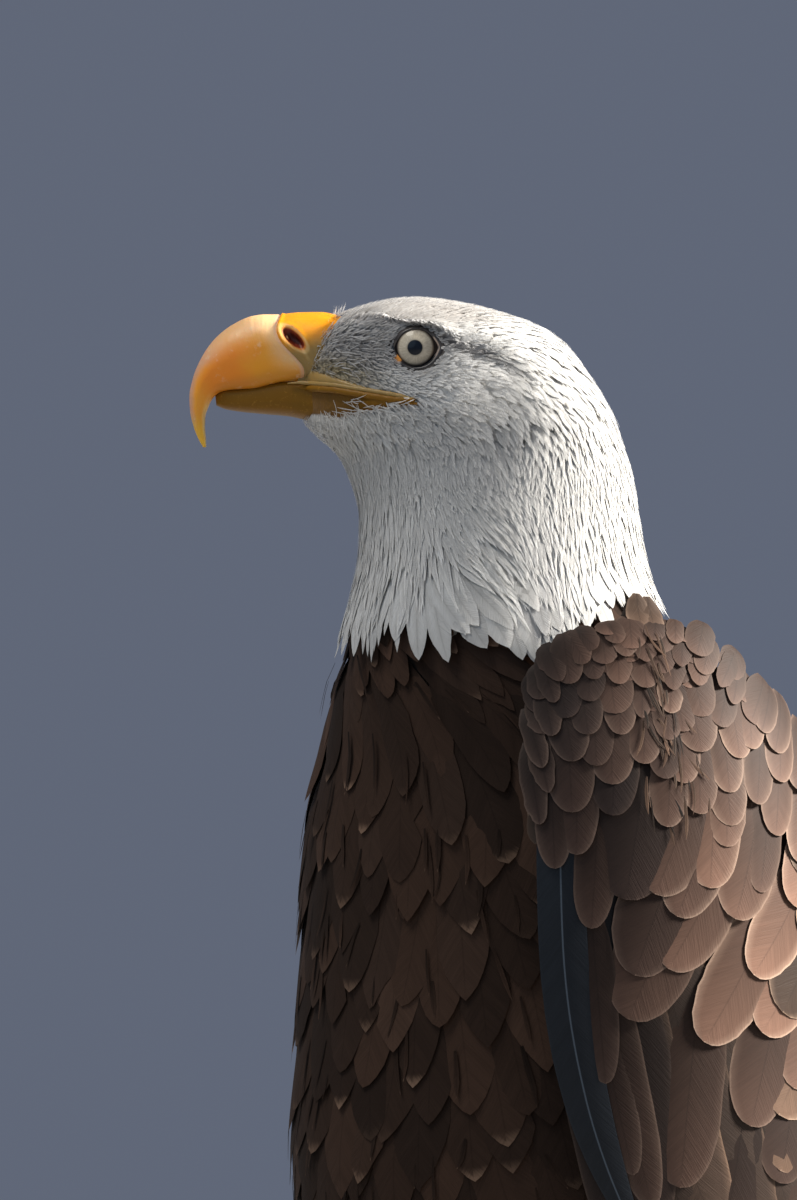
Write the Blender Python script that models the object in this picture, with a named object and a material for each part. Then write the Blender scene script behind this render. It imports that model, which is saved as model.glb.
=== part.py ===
"""A life-size bald eagle standing on the floor, head turned to its right.

The flesh is a stack of level slices from the crown to the vent, parted at the
neck with thin cuts. Folded wings, thighs and tail are lofts trimmed to fit
against it. Bill, eyes, legs, toes and talons are pieces of their own.
Row frame: +Z up, floor at z = 0, the body faces -Y, its left side is +X.
All sizes in the tables are millimetres; f means distance forward (-Y).
"""

import math

import bmesh
import bpy
import numpy as np
from mathutils import Vector

MM = 0.001
GAP = 0.32                 # clearance left between pieces that touch
ORIGIN = (-0.00135, -0.04272)        # row-frame shift that puts the origin under the box's centre
HEAD_TURN = 40.0           # degrees, head against body, towards the bird's right
HEAD_AXIS = (2.0, 18.0)    # x and f of the upright axis that the head turns on
EYE_AHEAD = 30.6           # the eye's pupil, ahead of that axis
EYE_Z = 723.3
EYE_SIDE = 22.2            # centre of the eyeball from the head's middle plane
EYE_R = 9.2
NECK_TOP = 686.0           # the cut between head and neck
NECK_BASE = 622.0          # the cut between neck and trunk
AROUND = 28                # points round each slice

# height, axis x, axis f, slice's lead on the axis, half width, reach ahead,
# reach behind, turn in degrees, squareness
BODY = [
    (740.2, 2, 18, 31.0, 0.0, 0.0, 0.0, 40, 2.0),
    (739.7, 2, 18, 30.5, 8.5, 7.0, 6.5, 40, 2.0),
    (738.6, 2, 18, 29.5, 15.0, 14.0, 13.0, 40, 2.0),
    (736.6, 2, 18, 26.5, 21.5, 24.0, 19.5, 40, 2.1),
    (733.6, 2, 18, 20.5, 27.0, 37.5, 24.0, 40, 2.2),
    (728.6, 2, 18, 13.0, 31.5, 50.5, 28.0, 40, 2.3),
    (723.3, 2, 18, 7.0, 33.8, 59.5, 28.5, 40, 2.4),
    (717.5, 2, 18, 3.5, 35.4, 64.5, 29.5, 40, 2.4),
    (711.0, 2, 18, 1.5, 36.6, 67.5, 32.0, 40, 2.35),
    (704.5, 2, 18, 0.5, 37.3, 69.0, 35.0, 40, 2.3),
    (698.5, 2, 18, 0.0, 37.6, 68.5, 37.5, 40, 2.2),
    (693.0, 2, 18, 0.0, 37.8, 64.0, 39.2, 40, 2.15),
    (686.0, 2, 18, 0.0, 38.3, 56.5, 41.5, 40, 2.1),
    (677.0, 2, 18, 0.0, 39.8, 52.3, 43.7, 40, 2.05),
    (666.0, 2, 18, 0.0, 42.5, 49.6, 45.4, 39, 2.0),
    (654.0, 2, 17.5, 0.0, 46.5, 50.3, 47.0, 37, 2.0),
    (642.0, 2, 16.5, 0.0, 52.0, 53.2, 49.5, 33, 2.0),
    (631.0, 1.5, 14.5, 0.0, 58.5, 57.3, 52.5, 26, 2.0),
    (620.0, 1, 12, 0.0, 65.0, 60.5, 58.0, 18, 2.0),
    (606.0, 0, 8, 0.0, 73.0, 65.0, 64.5, 9, 2.05),
    (587.0, 0, 5, 0.0, 81.0, 67.0, 72.0, 3, 2.05),
    (560.0, 0, 1, 0.0, 86.0, 74.5, 82.0, 0, 2.1),
    (525.0, 0, -4, 0.0, 89.5, 81.5, 91.0, 0, 2.1),
    (485.0, 0, -8, 0.0, 90.5, 88.5, 96.5, 0, 2.1),
    (445.0, 0, -13, 0.0, 90.0, 97.0, 100.0, 0, 2.1),
    (410.0, 0, -20, 0.0, 89.0, 99.0, 98.5, 0, 2.1),
    (375.0, 0, -30, 0.0, 85.0, 93.0, 92.5, 0, 2.1),
    (340.0, 0, -43, 0.0, 79.0, 83.0, 82.5, 0, 2.1),
    (305.0, 0, -60, 0.0, 69.0, 68.0, 68.0, 0, 2.1),
    (276.0, 0, -78, 0.0, 56.0, 52.0, 52.0, 0, 2.1),
    (253.0, 0, -94, 0.0, 41.0, 36.0, 37.0, 0, 2.05),
    (237.0, 0, -107, 0.0, 26.0, 22.0, 23.5, 0, 2.0),
    (229.0, 0, -114, 0.0, 13.0, 10.5, 12.0, 0, 2.0),
    (227.0, 0, -117, 0.0, 0.0, 0.0, 0.0, 0, 2.0),
]

# height, half width, half depth and middle f of the oval the wing lies on,
# angle of its leading and rear edge from straight ahead, thickness
WING = [
    (637.5, 84, 80, -5, 67, 73, 14),
    (634.5, 86, 81.5, -5, 62, 75, 20),
    (627.0, 89.5, 83.5, -4, 57, 80.5, 27),
    (611.0, 95, 87, -3, 50, 91, 29),
    (589.0, 103, 92, -3, 44.5, 107.5, 29),
    (565.0, 108, 96, -4, 43.2, 127, 28),
    (535.0, 111, 100, -6, 42, 147, 27),
    (500.0, 112, 103, -9, 44, 156, 26),
    (465.0, 112, 104.5, -13, 47, 160, 25),
    (430.0, 110, 105, -19, 53, 163, 23),
    (395.0, 107.5, 103, -28, 60, 165, 21),
    (355.0, 103, 98, -39, 69, 167, 19),
    (315.0, 95.5, 89.5, -52, 80, 169, 17),
    (275.0, 86, 80, -67, 91, 170, 15),
    (235.0, 75, 70.5, -83, 101, 170, 13),
    (195.0, 64, 61, -99, 109, 169, 11),
    (155.0, 54, 52, -114, 116, 167, 9),
    (120.0, 46, 44.5, -127, 123, 164, 7),
    (95.0, 40, 39.5, -136.5, 130, 160, 5.5),
    (84.0, 38, 38, -140.5, 138, 154, 3),
]
# height, how many degrees further back the tucked right wing begins, how much closer it lies
RIGHT_WING = [(640.0, 7.0, 4.0), (627.0, 17.0, 6.5), (612.0, 24.0, 8.0), (585.0, 32.0, 10.0), (530.0, 33.0, 11.0), (480.0, 24.0, 9.5), (430.0, 15.0, 6.0), (330.0, 8.0, 3.0), (200.0, 3.0, 0.0), (80.0, 0.0, 0.0)]

# height, x, f, half width, half depth
THIGH = [
    (392.0, 49, -12, 14, 18),
    (378.0, 50, -13, 28, 35),
    (352.0, 52, -15, 36, 46),
    (320.0, 53.5, -17, 38.5, 51.5),
    (285.0, 54, -18, 38.5, 52),
    (250.0, 53.5, -20, 36.5, 49),
    (215.0, 52.5, -24, 33, 43.5),
    (180.0, 51.5, -30, 28.5, 36.5),
    (150.0, 50.5, -35, 24, 29.5),
    (124.0, 50, -38.5, 19.5, 23),
    (100.0, 50, -40, 15.5, 17.5),
    (80.0, 50, -40, 12, 12.5),
]

# distance from the root, half width, thickness, hollow of the underside
TAIL = [
    (0.0, 29.0, 20.0, 3.0),
    (45.0, 33.0, 19.0, 4.0),
    (85.0, 37.0, 14.0, 5.0),
    (130.0, 41.5, 10.0, 6.0),
    (180.0, 47.0, 7.0, 6.5),
    (225.0, 52.5, 5.0, 6.5),
    (250.0, 54.0, 3.6, 6.0),
    (258.0, 48.0, 2.4, 5.5),
]
TAIL_ROOT = (-102.0, 275.0)   # f and height
TAIL_SLOPE = 19.0             # degrees from straight down

# upper bill: culmen ahead and above the eye, cutting edge ahead and above, half width
BILL_UPPER = [
    (46.2, 10.9, 39.6, -12.2, 13.2),
    (50.7, 10.9, 44.6, -12.4, 12.7),
    (55.3, 10.3, 49.3, -13.4, 12.0),
    (61.3, 7.7, 54.6, -14.8, 11.0),
    (67.6, 2.8, 60.2, -14.8, 9.6),
    (72.2, -3.6, 65.2, -15.3, 7.9),
    (75.1, -10.4, 68.3, -17.4, 6.2),
    (76.4, -17.0, 70.0, -20.6, 4.8),
    (76.1, -22.3, 71.0, -24.0, 3.7),
    (75.0, -27.0, 71.1, -27.7, 2.7),
    (73.4, -31.2, 70.8, -31.2, 1.7),
    (71.7, -34.2, 70.7, -34.0, 0.7),
]
CERE = [
    (14.0, 12.0, 14.0, -14.6, 15.6),
    (24.0, 12.2, 24.0, -13.6, 15.2),
    (32.0, 12.2, 30.5, -12.8, 14.5),
    (39.0, 11.6, 35.4, -12.4, 13.8),
    (45.8, 10.9, 39.2, -12.2, 13.2),
]
CERE_BEND = 2.9            # how far the cere's front edge swings ahead high up and back low down
BILL_LOWER = [
    (14.0, -16.0, 16.0, -28.5, 15.0),
    (24.0, -14.8, 26.0, -27.0, 13.9),
    (33.0, -13.5, 35.0, -25.3, 12.7),
    (43.0, -13.3, 43.0, -23.6, 11.3),
    (50.7, -14.6, 50.7, -22.9, 10.0),
    (58.0, -15.9, 58.0, -22.2, 8.4),
    (64.4, -16.6, 64.2, -21.2, 6.0),
    (67.6, -18.0, 67.2, -20.0, 3.2),
]

# x, f, height, radius
TARSUS = [(50, -40, 79.6, 7.9), (50, -39.5, 62, 7.8), (50, -38, 42, 8.3), (50, -36.5, 27, 9.6), (50, -36, 17, 10.8)]
FOOT = (50.0, -36.0)
FOOT_SPLAY = 8.0
# name, bearing outwards from straight ahead, bare length, thickness, talon length
TOES = [
    ("middle", 3.0, 65.0, 8.2, 33.0),
    ("inner", -34.0, 47.0, 8.0, 35.0),
    ("outer", 41.0, 51.0, 7.6, 30.0),
    ("hind", 176.0, 37.0, 8.8, 41.0),
]


# ---------------------------------------------------------------- shape rules
def through(table, at):
    """Smooth rows between the rows of a table: at counts rows, and no value overshoots."""
    y = np.array([row[:] for row in table], float)
    at = np.clip(np.asarray(at, float), 0, len(y) - 1)
    d = np.diff(y, axis=0)
    m = np.zeros_like(y)
    a, b = d[:-1], d[1:]
    same = a * b > 0
    m[1:-1] = np.where(same, 2 * a * b / np.where(same, a + b, 1), 0)
    m[0], m[-1] = d[0], d[-1]
    i = np.minimum(at.astype(int), len(y) - 2)
    s = (at - i)[..., None]
    return (
        (2 * s**3 - 3 * s**2 + 1) * y[i]
        + (s**3 - 2 * s**2 + s) * m[i]
        + (3 * s**2 - 2 * s**3) * y[i + 1]
        + (s**3 - s**2) * m[i + 1]
    )


def row_at_height(table, z):
    """The row count at which a table that runs downwards reaches a height."""
    t = np.linspace(0, len(table) - 1, 6001)
    return np.interp(-np.asarray(z, float), -through(table, t)[:, 0], t)


def facing(turn):
    """(left, ahead) of a slice turned to the bird's right, as x and y parts."""
    r = np.radians(turn)
    return (np.cos(r), -np.sin(r)), (-np.sin(r), -np.cos(r))


def face_relief(ahead, up):
    """How far the side of the face stands out: brow ridge, eye socket, lore and cheek."""
    socket = -3.6 * np.exp(-((ahead / 9.5) ** 2 + ((up + 0.5) / 8.0) ** 2))
    brow = 2.6 * np.exp(-(((ahead - 1) / 15.0) ** 2 + ((up - 9.3 + 0.010 * (ahead - 4) ** 2) / 2.8) ** 2))
    lore = -2.2 * np.exp(-(((ahead - 19) / 8.0) ** 2 + ((up - 1) / 7.0) ** 2))
    cheek = 1.4 * np.exp(-(((ahead + 12) / 14.0) ** 2 + ((up + 19) / 11.0) ** 2))
    return socket + brow + lore + cheek


def body(t, phi):
    """Points of the body: t counts rows of BODY, phi runs round from straight ahead to the left."""
    t, phi = np.broadcast_arrays(np.asarray(t, float), np.asarray(phi, float))
    z, ax, af, lead, side, front, back, turn, n = np.moveaxis(through(BODY, t), -1, 0)
    c, s = np.cos(phi), np.sin(phi)
    ahead = np.where(c > 0, front, back) * np.sign(c) * np.abs(c) ** (2 / n)
    left = side * np.sign(s) * np.abs(s) ** (2 / n)
    on_face = np.clip((z - 690) / 12, 0, 1)
    relief = face_relief(lead + ahead - EYE_AHEAD, z - EYE_Z) * on_face
    left = left + np.sign(left) * relief * np.clip(np.abs(left) / 14, 0, 1) ** 2
    (lx, ly), (fx, fy) = facing(turn)
    x = ax + left * lx + (lead + ahead) * fx
    y = -af + left * ly + (lead + ahead) * fy
    return np.stack([x, y, z], -1)


def on_head(ahead, up, side):
    """A point given from the eye's pupil line: ahead towards the bill, up, and to the head's left."""
    (lx, ly), (fx, fy) = facing(HEAD_TURN)
    a = ahead + EYE_AHEAD
    return Vector((HEAD_AXIS[0] + side * lx + a * fx, -HEAD_AXIS[1] + side * ly + a * fy, EYE_Z + up))


def wing(t, v, inward, tucked=False):
    """Points of a wing as on the left: t counts rows of WING, v runs from leading to rear edge, inward 0 outside, 1 inside."""
    z, a, b, mid, lead, rear, thick = np.moveaxis(through(WING, t), -1, 0)
    if tucked:
        _, later, closer = np.moveaxis(through(RIGHT_WING, row_at_height(RIGHT_WING, z)), -1, 0)
        lead, a = lead + later, a - closer
    phi = np.radians(lead + (rear - lead) * v)
    deep = inward * thick * np.sqrt(np.clip(4 * v * (1 - v), 0, 1))
    x = (a - deep) * np.sin(phi)
    f = mid + (b - deep) * np.cos(phi)
    return np.stack([x, -f, np.broadcast_to(z, x.shape)], -1)


# ------------------------------------------------------------------- building
for old in list(bpy.data.objects):
    bpy.data.objects.remove(old)
eagle = bpy.data.collections.new("bald_eagle")
cutters = bpy.data.collections.new("cutters")
bpy.context.scene.collection.children.link(eagle)
bpy.context.scene.collection.children.link(cutters)


def material(name, colour, roughness, metallic=0.0):
    made = bpy.data.materials.new(name)
    made.use_nodes = True
    bsdf = made.node_tree.nodes["Principled BSDF"]
    bsdf.inputs["Base Color"].default_value = (*colour, 1)
    bsdf.inputs["Roughness"].default_value = roughness
    bsdf.inputs["Metallic"].default_value = metallic
    return made


WHITE = material("white_plumage", (0.80, 0.78, 0.74), 0.75)
BROWN = material("brown_plumage", (0.060, 0.035, 0.024), 0.70)
WING_BROWN = material("wing_plumage", (0.075, 0.045, 0.030), 0.65)
HORN = material("bill_horn", (0.72, 0.36, 0.07), 0.35)
CERE_SKIN = material("cere_skin", (0.80, 0.42, 0.02), 0.40)
JAW_HORN = material("lower_bill_horn", (0.36, 0.21, 0.05), 0.45)
IRIS = material("eye", (0.62, 0.55, 0.42), 0.08)
LEG_SKIN = material("leg_skin", (0.70, 0.44, 0.05), 0.50)
TALON = material("talon_horn", (0.012, 0.011, 0.012), 0.25)


def put(name, mesh, finish, where=eagle):
    obj = bpy.data.objects.new(name, mesh)
    where.objects.link(obj)
    if finish:
        mesh.materials.append(finish)
    return obj


def loft(name, rings, finish, where=eagle, mirror=False, ruled_ends=False):
    """A closed solid through rings of equal length. Its faces are made triangles, so that a trim leaves them as they are."""
    bm = bmesh.new()
    rows = []
    for ring in rings:
        pts = ring * MM
        if mirror:
            pts = pts * [-1, 1, 1]
        rows.append([bm.verts.new((p[0] + ORIGIN[0], p[1] + ORIGIN[1], p[2])) for p in pts])
    n = len(rows[0])
    for a, b in zip(rows, rows[1:]):
        for i in range(n):
            j = (i + 1) % n
            bm.faces.new((a[i], a[j], b[j], b[i]))
    for row in (rows[0][::-1], rows[-1]):
        if ruled_ends:  # each end is ruled straight across, from one side to the other
            top = n // 4
            pairs = [((top - 1 - k) % n, (top + k) % n) for k in range(n // 2)]
            if row[0] is rows[0][-1] and len(rows) > 1:
                pairs = [(n - 1 - i, n - 1 - j) for i, j in pairs]
            for (a, b), (c, d) in zip(pairs, pairs[1:]):
                bm.faces.new((row[a], row[b], row[d], row[c]))
        else:
            bm.faces.new(row)
    bmesh.ops.remove_doubles(bm, verts=bm.verts, dist=1e-6)
    bmesh.ops.triangulate(bm, faces=bm.faces)
    bmesh.ops.recalc_face_normals(bm, faces=bm.faces)
    mesh = bpy.data.meshes.new(name)
    bm.to_mesh(mesh)
    bm.free()
    mesh.shade_smooth()
    return put(name, mesh, finish, where)


def swelled(obj, by=GAP):
    """A cutter of the same shape, larger all round by a gap."""
    mesh = obj.data.copy()
    mesh.materials.clear()
    normals = [v.normal.copy() for v in mesh.vertices]
    for v, n in zip(mesh.vertices, normals):
        v.co += n * by * MM
    cut = put(obj.name + "_room", mesh, None, cutters)
    cut.hide_render = True
    cut.display_type = "WIRE"
    return cut


def cut_by(obj, *others, operation="DIFFERENCE"):
    for other in others:
        mod = obj.modifiers.new(other.name, "BOOLEAN")
        mod.operation = operation
        mod.solver = "EXACT"
        mod.object = other


def settle(obj):
    """Applies the modifiers and keeps the largest body, so that no crumbs of a trim stay."""
    graph = bpy.context.evaluated_depsgraph_get()
    mesh = bpy.data.meshes.new_from_object(obj.evaluated_get(graph), depsgraph=graph)
    obj.modifiers.clear()
    bm = bmesh.new()
    bm.from_mesh(mesh)
    bmesh.ops.remove_doubles(bm, verts=bm.verts, dist=2e-6)
    bmesh.ops.dissolve_degenerate(bm, edges=bm.edges, dist=1e-6)
    left, bodies = set(bm.verts), []
    while left:
        seed = left.pop()
        group, todo = {seed}, [seed]
        while todo:
            for edge in todo.pop().link_edges:
                for v in edge.verts:
                    if v in left:
                        left.remove(v)
                        group.add(v)
                        todo.append(v)
        bodies.append(group)
    bodies.sort(key=len)
    for group in bodies[:-1]:
        bmesh.ops.delete(bm, geom=list(group), context="VERTS")
    bm.to_mesh(mesh)
    bm.free()
    obj.data = mesh
    return obj


def from_curve(name, points, finish, sides=2, where=eagle):
    """A tapering round limb along points (x, y, z, radius) in millimetres, as a mesh with closed ends."""
    data = bpy.data.curves.new(name, "CURVE")
    data.dimensions = "3D"
    data.bevel_depth = 1.0
    data.bevel_resolution = sides
    data.use_fill_caps = True
    data.twist_mode = "Z_UP"
    line = data.splines.new("POLY")
    line.points.add(len(points) - 1)
    for p, (x, y, z, r) in zip(line.points, points):
        p.co = (x * MM + ORIGIN[0], y * MM + ORIGIN[1], z * MM, 1)
        p.radius = r * MM
        p.tilt = math.pi / (4 + 2 * sides)  # a flat of the section, and not an edge, lies underneath
    obj = bpy.data.objects.new(name + "_line", data)
    where.objects.link(obj)
    graph = bpy.context.evaluated_depsgraph_get()
    mesh = bpy.data.meshes.new_from_object(obj.evaluated_get(graph), depsgraph=graph)
    matrix = obj.matrix_world.copy()
    bpy.data.objects.remove(obj)
    bm = bmesh.new()
    bm.from_mesh(mesh)
    bmesh.ops.remove_doubles(bm, verts=bm.verts, dist=1e-6)
    bmesh.ops.triangulate(bm, faces=bm.faces)
    bmesh.ops.recalc_face_normals(bm, faces=bm.faces)
    bm.to_mesh(mesh)
    bm.free()
    mesh.materials.clear()
    mesh.shade_smooth()
    made = put(name, mesh, finish, where)
    made.matrix_world = matrix
    return made


def ball(name, centre, radii, finish, where=eagle, turn=0.0, across=14, rings=10, lean=0.0):
    bpy.ops.mesh.primitive_uv_sphere_add(segments=across, ring_count=rings, radius=1.0)
    obj = bpy.context.object
    for c in list(obj.users_collection):
        c.objects.unlink(obj)
    where.objects.link(obj)
    obj.name = name
    mesh = obj.data
    mesh.name = name
    r, q = math.radians(turn), math.radians(lean)
    for v in mesh.vertices:
        x, y, z = (v.co[i] * radii[i] for i in range(3))
        y, z = y * math.cos(q) - z * math.sin(q), y * math.sin(q) + z * math.cos(q)
        v.co = (
            (centre[0] + x * math.cos(r) - y * math.sin(r)) * MM + ORIGIN[0],
            (centre[1] + x * math.sin(r) + y * math.cos(r)) * MM + ORIGIN[1],
            (centre[2] + z) * MM,
        )
    mesh.shade_smooth()
    if finish:
        mesh.materials.append(finish)
    return obj


ROUND = np.linspace(0, 2 * math.pi, AROUND, endpoint=False)
# the head's slices have their points closer together over the eyes and brows
HALF_FACE = [0, 15, 28, 39, 48, 56, 63, 70, 77, 85, 95, 107, 121, 136, 151, 166, 180]
ROUND_HEAD = np.radians(HALF_FACE + [360 - d for d in HALF_FACE[-2:0:-1]])


def body_rings(heights, round_it=ROUND):
    return [body(t, round_it) for t in row_at_height(BODY, heights)]


# ---- head, neck and trunk: one stack of slices, parted by two thin cuts
crown = [740.15, 739.4, 737.6, 735, 732.6, 730.4, 727.4, 723.6, 719.6, 715.4, 710.6, 705, 699, 692.5]
head = loft("head", body_rings(crown + [NECK_TOP + GAP / 2], ROUND_HEAD), WHITE)
neck = loft("neck", body_rings([NECK_TOP - GAP / 2, 675, 663, 649, 635, NECK_BASE + GAP / 2]), WHITE)
trunk_heights = [NECK_BASE - GAP / 2, 608, 594, 576, 552, 524, 494, 463, 431, 400, 370, 342, 316, 293, 272, 254, 240, 231, 227.3]
trunk = loft("trunk", body_rings(trunk_heights), BROWN)

# ---- eyes in their sockets
eyes = {}
for side, label in ((1, "left"), (-1, "right")):
    at = on_head(-0.6, 0.0, side * EYE_SIDE)
    eyes[label] = ball("eye_" + label, at, (EYE_R,) * 3, IRIS, turn=-HEAD_TURN)
    room = ball("eye_room_" + label, at, (EYE_R + GAP,) * 3, None, cutters, turn=-HEAD_TURN)
    room.hide_render, room.display_type = True, "WIRE"
    cut_by(head, room)
head_room = swelled(head)
settle(head)


# ---- bill
def bill_rings(table, top_square, bottom_square, count, sides=16, bow=lambda s: 0.0):
    """Slices from the culmen to the cutting edge; bow gives the S-bend of a slice along the bill, in millimetres."""
    rings = []
    for s, (ta, tu, ba, bu, w) in zip(np.linspace(0, 1, count), through(table, np.linspace(0, len(table) - 1, count))):
        ring = []
        for k in range(sides):
            th = 2 * math.pi * (k + 0.5) / sides
            c, e = math.cos(th), math.sin(th)
            n = top_square if e > 0 else bottom_square
            across = w * math.copysign(abs(c) ** (2 / n), c)
            q = 0.5 + 0.5 * math.copysign(abs(e) ** (2 / n), e)
            bend = -bow(s) * math.sin(2 * math.pi * q**0.85)
            ring.append(tuple(on_head(ba + (ta - ba) * q + bend, bu + (tu - bu) * q, across)))
        rings.append(np.array(ring))
    return rings


bill_upper = loft("bill_upper", bill_rings(BILL_UPPER, 2.0, 4.5, 15, bow=lambda s: CERE_BEND * max(0, 1 - 4 * s)), HORN, ruled_ends=True)
cere = loft("cere", bill_rings(CERE, 2.0, 4.5, 7, bow=lambda s: CERE_BEND * s), CERE_SKIN, ruled_ends=True)
bill_lower = loft("bill_lower", bill_rings(BILL_LOWER, 5.0, 2.2, 8, sides=14), JAW_HORN)
cut_by(cere, head_room)
cut_by(bill_upper, head_room)
settle(bill_upper)
for side in (1, -1):
    pit = ball("nostril_%d" % (side > 0), on_head(41.0, 2.9, side * 13.0), (2.0, 4.6, 1.9), None, cutters, turn=-HEAD_TURN, across=10, rings=6, lean=-42)
    pit.hide_render, pit.display_type = True, "WIRE"
    cut_by(cere, pit)
settle(cere)
cut_by(bill_lower, head_room)
settle(bill_lower)

# ---- thighs, tail and wings, each trimmed to fit against what it lies on
trunk_room, neck_room = swelled(trunk), swelled(neck)
thighs = {}
for side, label in ((1, "left"), (-1, "right")):
    rings = []
    for z, x, f, a, b in through(THIGH, row_at_height(THIGH, [391.9, 368, 336, 300, 262, 224, 188, 154, 124, 100, 80])):
        th = np.linspace(0, 2 * math.pi, 16, endpoint=False)
        rings.append(np.stack([x + a * np.sin(th), -(f + b * np.cos(th)), np.full(16, z)], -1))
    thighs[label] = loft("thigh_" + label, rings, BROWN, mirror=side < 0)
    cut_by(thighs[label], trunk_room)
    settle(thighs[label])

slope = math.radians(TAIL_SLOPE)
rings = []
for s, w, thick, hollow in through(TAIL, np.linspace(0, len(TAIL) - 1, 10)):
    th = np.linspace(0, 2 * math.pi, 14, endpoint=False)
    across = w * np.cos(th)
    rise = 0.5 * thick * np.sin(th) + hollow * (1 - (across / w) ** 2) - hollow
    f = TAIL_ROOT[0] - s * math.sin(slope) - rise * math.cos(slope)
    z = TAIL_ROOT[1] - s * math.cos(slope) + rise * math.sin(slope)
    rings.append(np.stack([across, -f, z], -1))
tail = loft("tail", rings, WHITE)
cut_by(tail, trunk_room)
settle(tail)
tail_room = swelled(tail, 0.8)

for side, label in ((1, "left"), (-1, "right")):
    levels = [637.4, 634, 627, 616, 600, 578, 550, 518, 482, 444, 405, 365, 325, 285, 245, 205, 166, 130, 103, 84]
    rings = []
    for t in row_at_height(WING, levels):
        v = np.linspace(0, 1, 9)
        rings.append(np.concatenate([wing(t, v, 0.0, side < 0), wing(t, v[1:-1][::-1], 1.0, side < 0)]))
    made = loft("wing_" + label, rings, WING_BROWN, mirror=side < 0)
    cut_by(made, trunk_room, neck_room, swelled(thighs[label]), tail_room)
    settle(made)

# ---- legs and feet
for side, label in ((1, "left"), (-1, "right")):
    shank = from_curve("tarsus_" + label, [(side * x, -f, z, r) for x, f, z, r in TARSUS], LEG_SKIN)
    palm = ball("palm_" + label, (side * FOOT[0], -FOOT[1], 12.8), (17.5, 18.5, 12.6), None, cutters, across=14, rings=8)
    palm.hide_render, palm.display_type = True, "WIRE"
    cut_by(shank, palm, operation="UNION")
    settle(shank)
    room = swelled(palm)
    for name, bearing, long, thick, talon in TOES:
        out = math.radians(bearing + FOOT_SPLAY)
        dx, dy = side * math.sin(out), -math.cos(out)
        steps = 8 if long > 60 else 6
        line = []
        for k in range(steps):
            s = k / (steps - 1)
            knuckle = 0.5 * math.cos(2 * math.pi * s * (3 if long > 50 else 2))
            r = thick * (0.80 + 0.24 * math.sin(math.pi * min(1, 0.12 + s))) - 0.9 * s + knuckle
            d = 9 + (long - 9) * s
            line.append((side * FOOT[0] + dx * d, -FOOT[1] + dy * d, r * math.cos(math.pi / 8), r))
        toe = from_curve("toe_%s_%s" % (name, label), line, LEG_SKIN)
        for v in toe.data.vertices:  # the sole is flat and lies on the floor
            v.co.z = 0.0 if v.co.z < 0.4 * MM else v.co.z
        cut_by(toe, room)
        if name in ("inner", "outer"):
            cut_by(toe, middle_room)
        settle(toe)
        if name == "middle":
            middle_room = swelled(toe)
        # the talon's arch: it leaves the toe rising and bends down until the tip meets the floor
        end_z, tip_r, rise = line[-1][2], 0.55, math.radians(36)
        low, high = -1.6, 0.0
        for _ in range(40):
            fall = (low + high) / 2
            drop = talon * (math.cos(rise) - math.cos(fall)) / (fall - rise)
            low, high = (fall, high) if end_z + drop < tip_r else (low, fall)
        arc, d, z = [], long + GAP, end_z
        base = line[-1][3] * 0.80
        for k in range(7):
            s = k / 6
            arc.append((side * FOOT[0] + dx * d, -FOOT[1] + dy * d, z, base + (tip_r - base) * s**0.9))
            slant = rise + (fall - rise) * (s + 0.5 / 6)
            d += talon / 6 * math.cos(slant)
            z += talon / 6 * math.sin(slant)
        claw = from_curve("talon_%s_%s" % (name, label), arc, TALON)
        for v in claw.data.vertices:
            v.co.z = max(v.co.z, 0.0)
        cut_by(claw, swelled(toe))
        settle(claw)
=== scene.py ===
"""Looks of the standing bald eagle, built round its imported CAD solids.

One skin lies under the plumage. Every feather is a thin closed vane or a
bundle of thin blades that grows from a root in the skin and lies along the
body in the direction the plumage runs. Sizes are millimetres in the tables
and become metres when a mesh is made.
"""

import math

import bmesh
import bpy
import numpy as np
from mathutils import Matrix, Vector
from mathutils.bvhtree import BVHTree
from mathutils.kdtree import KDTree


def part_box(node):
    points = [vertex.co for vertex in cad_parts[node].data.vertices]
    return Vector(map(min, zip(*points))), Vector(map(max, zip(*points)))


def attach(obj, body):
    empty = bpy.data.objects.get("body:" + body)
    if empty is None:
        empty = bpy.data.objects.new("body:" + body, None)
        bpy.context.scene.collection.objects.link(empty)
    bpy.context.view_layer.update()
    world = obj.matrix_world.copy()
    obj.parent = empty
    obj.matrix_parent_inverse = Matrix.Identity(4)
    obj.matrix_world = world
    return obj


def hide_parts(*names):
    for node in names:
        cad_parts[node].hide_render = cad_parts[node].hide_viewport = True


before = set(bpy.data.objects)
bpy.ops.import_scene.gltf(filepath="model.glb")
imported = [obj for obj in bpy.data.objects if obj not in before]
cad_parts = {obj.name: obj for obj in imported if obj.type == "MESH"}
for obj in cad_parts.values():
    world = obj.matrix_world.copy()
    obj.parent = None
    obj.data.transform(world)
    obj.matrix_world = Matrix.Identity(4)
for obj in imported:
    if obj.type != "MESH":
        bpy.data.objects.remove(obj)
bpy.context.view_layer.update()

MM = 0.001
RNG = np.random.default_rng(11)

HEAD_TURN = 40.0
HEAD_AXIS = (2.0, 18.0)
EYE_AHEAD = 30.6
EYE_Z = 723.3
EYE_SIDE = 22.2
EYE_R = 9.2
COLLAR = 619.0             # height where the white plumage ends, in front

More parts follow.
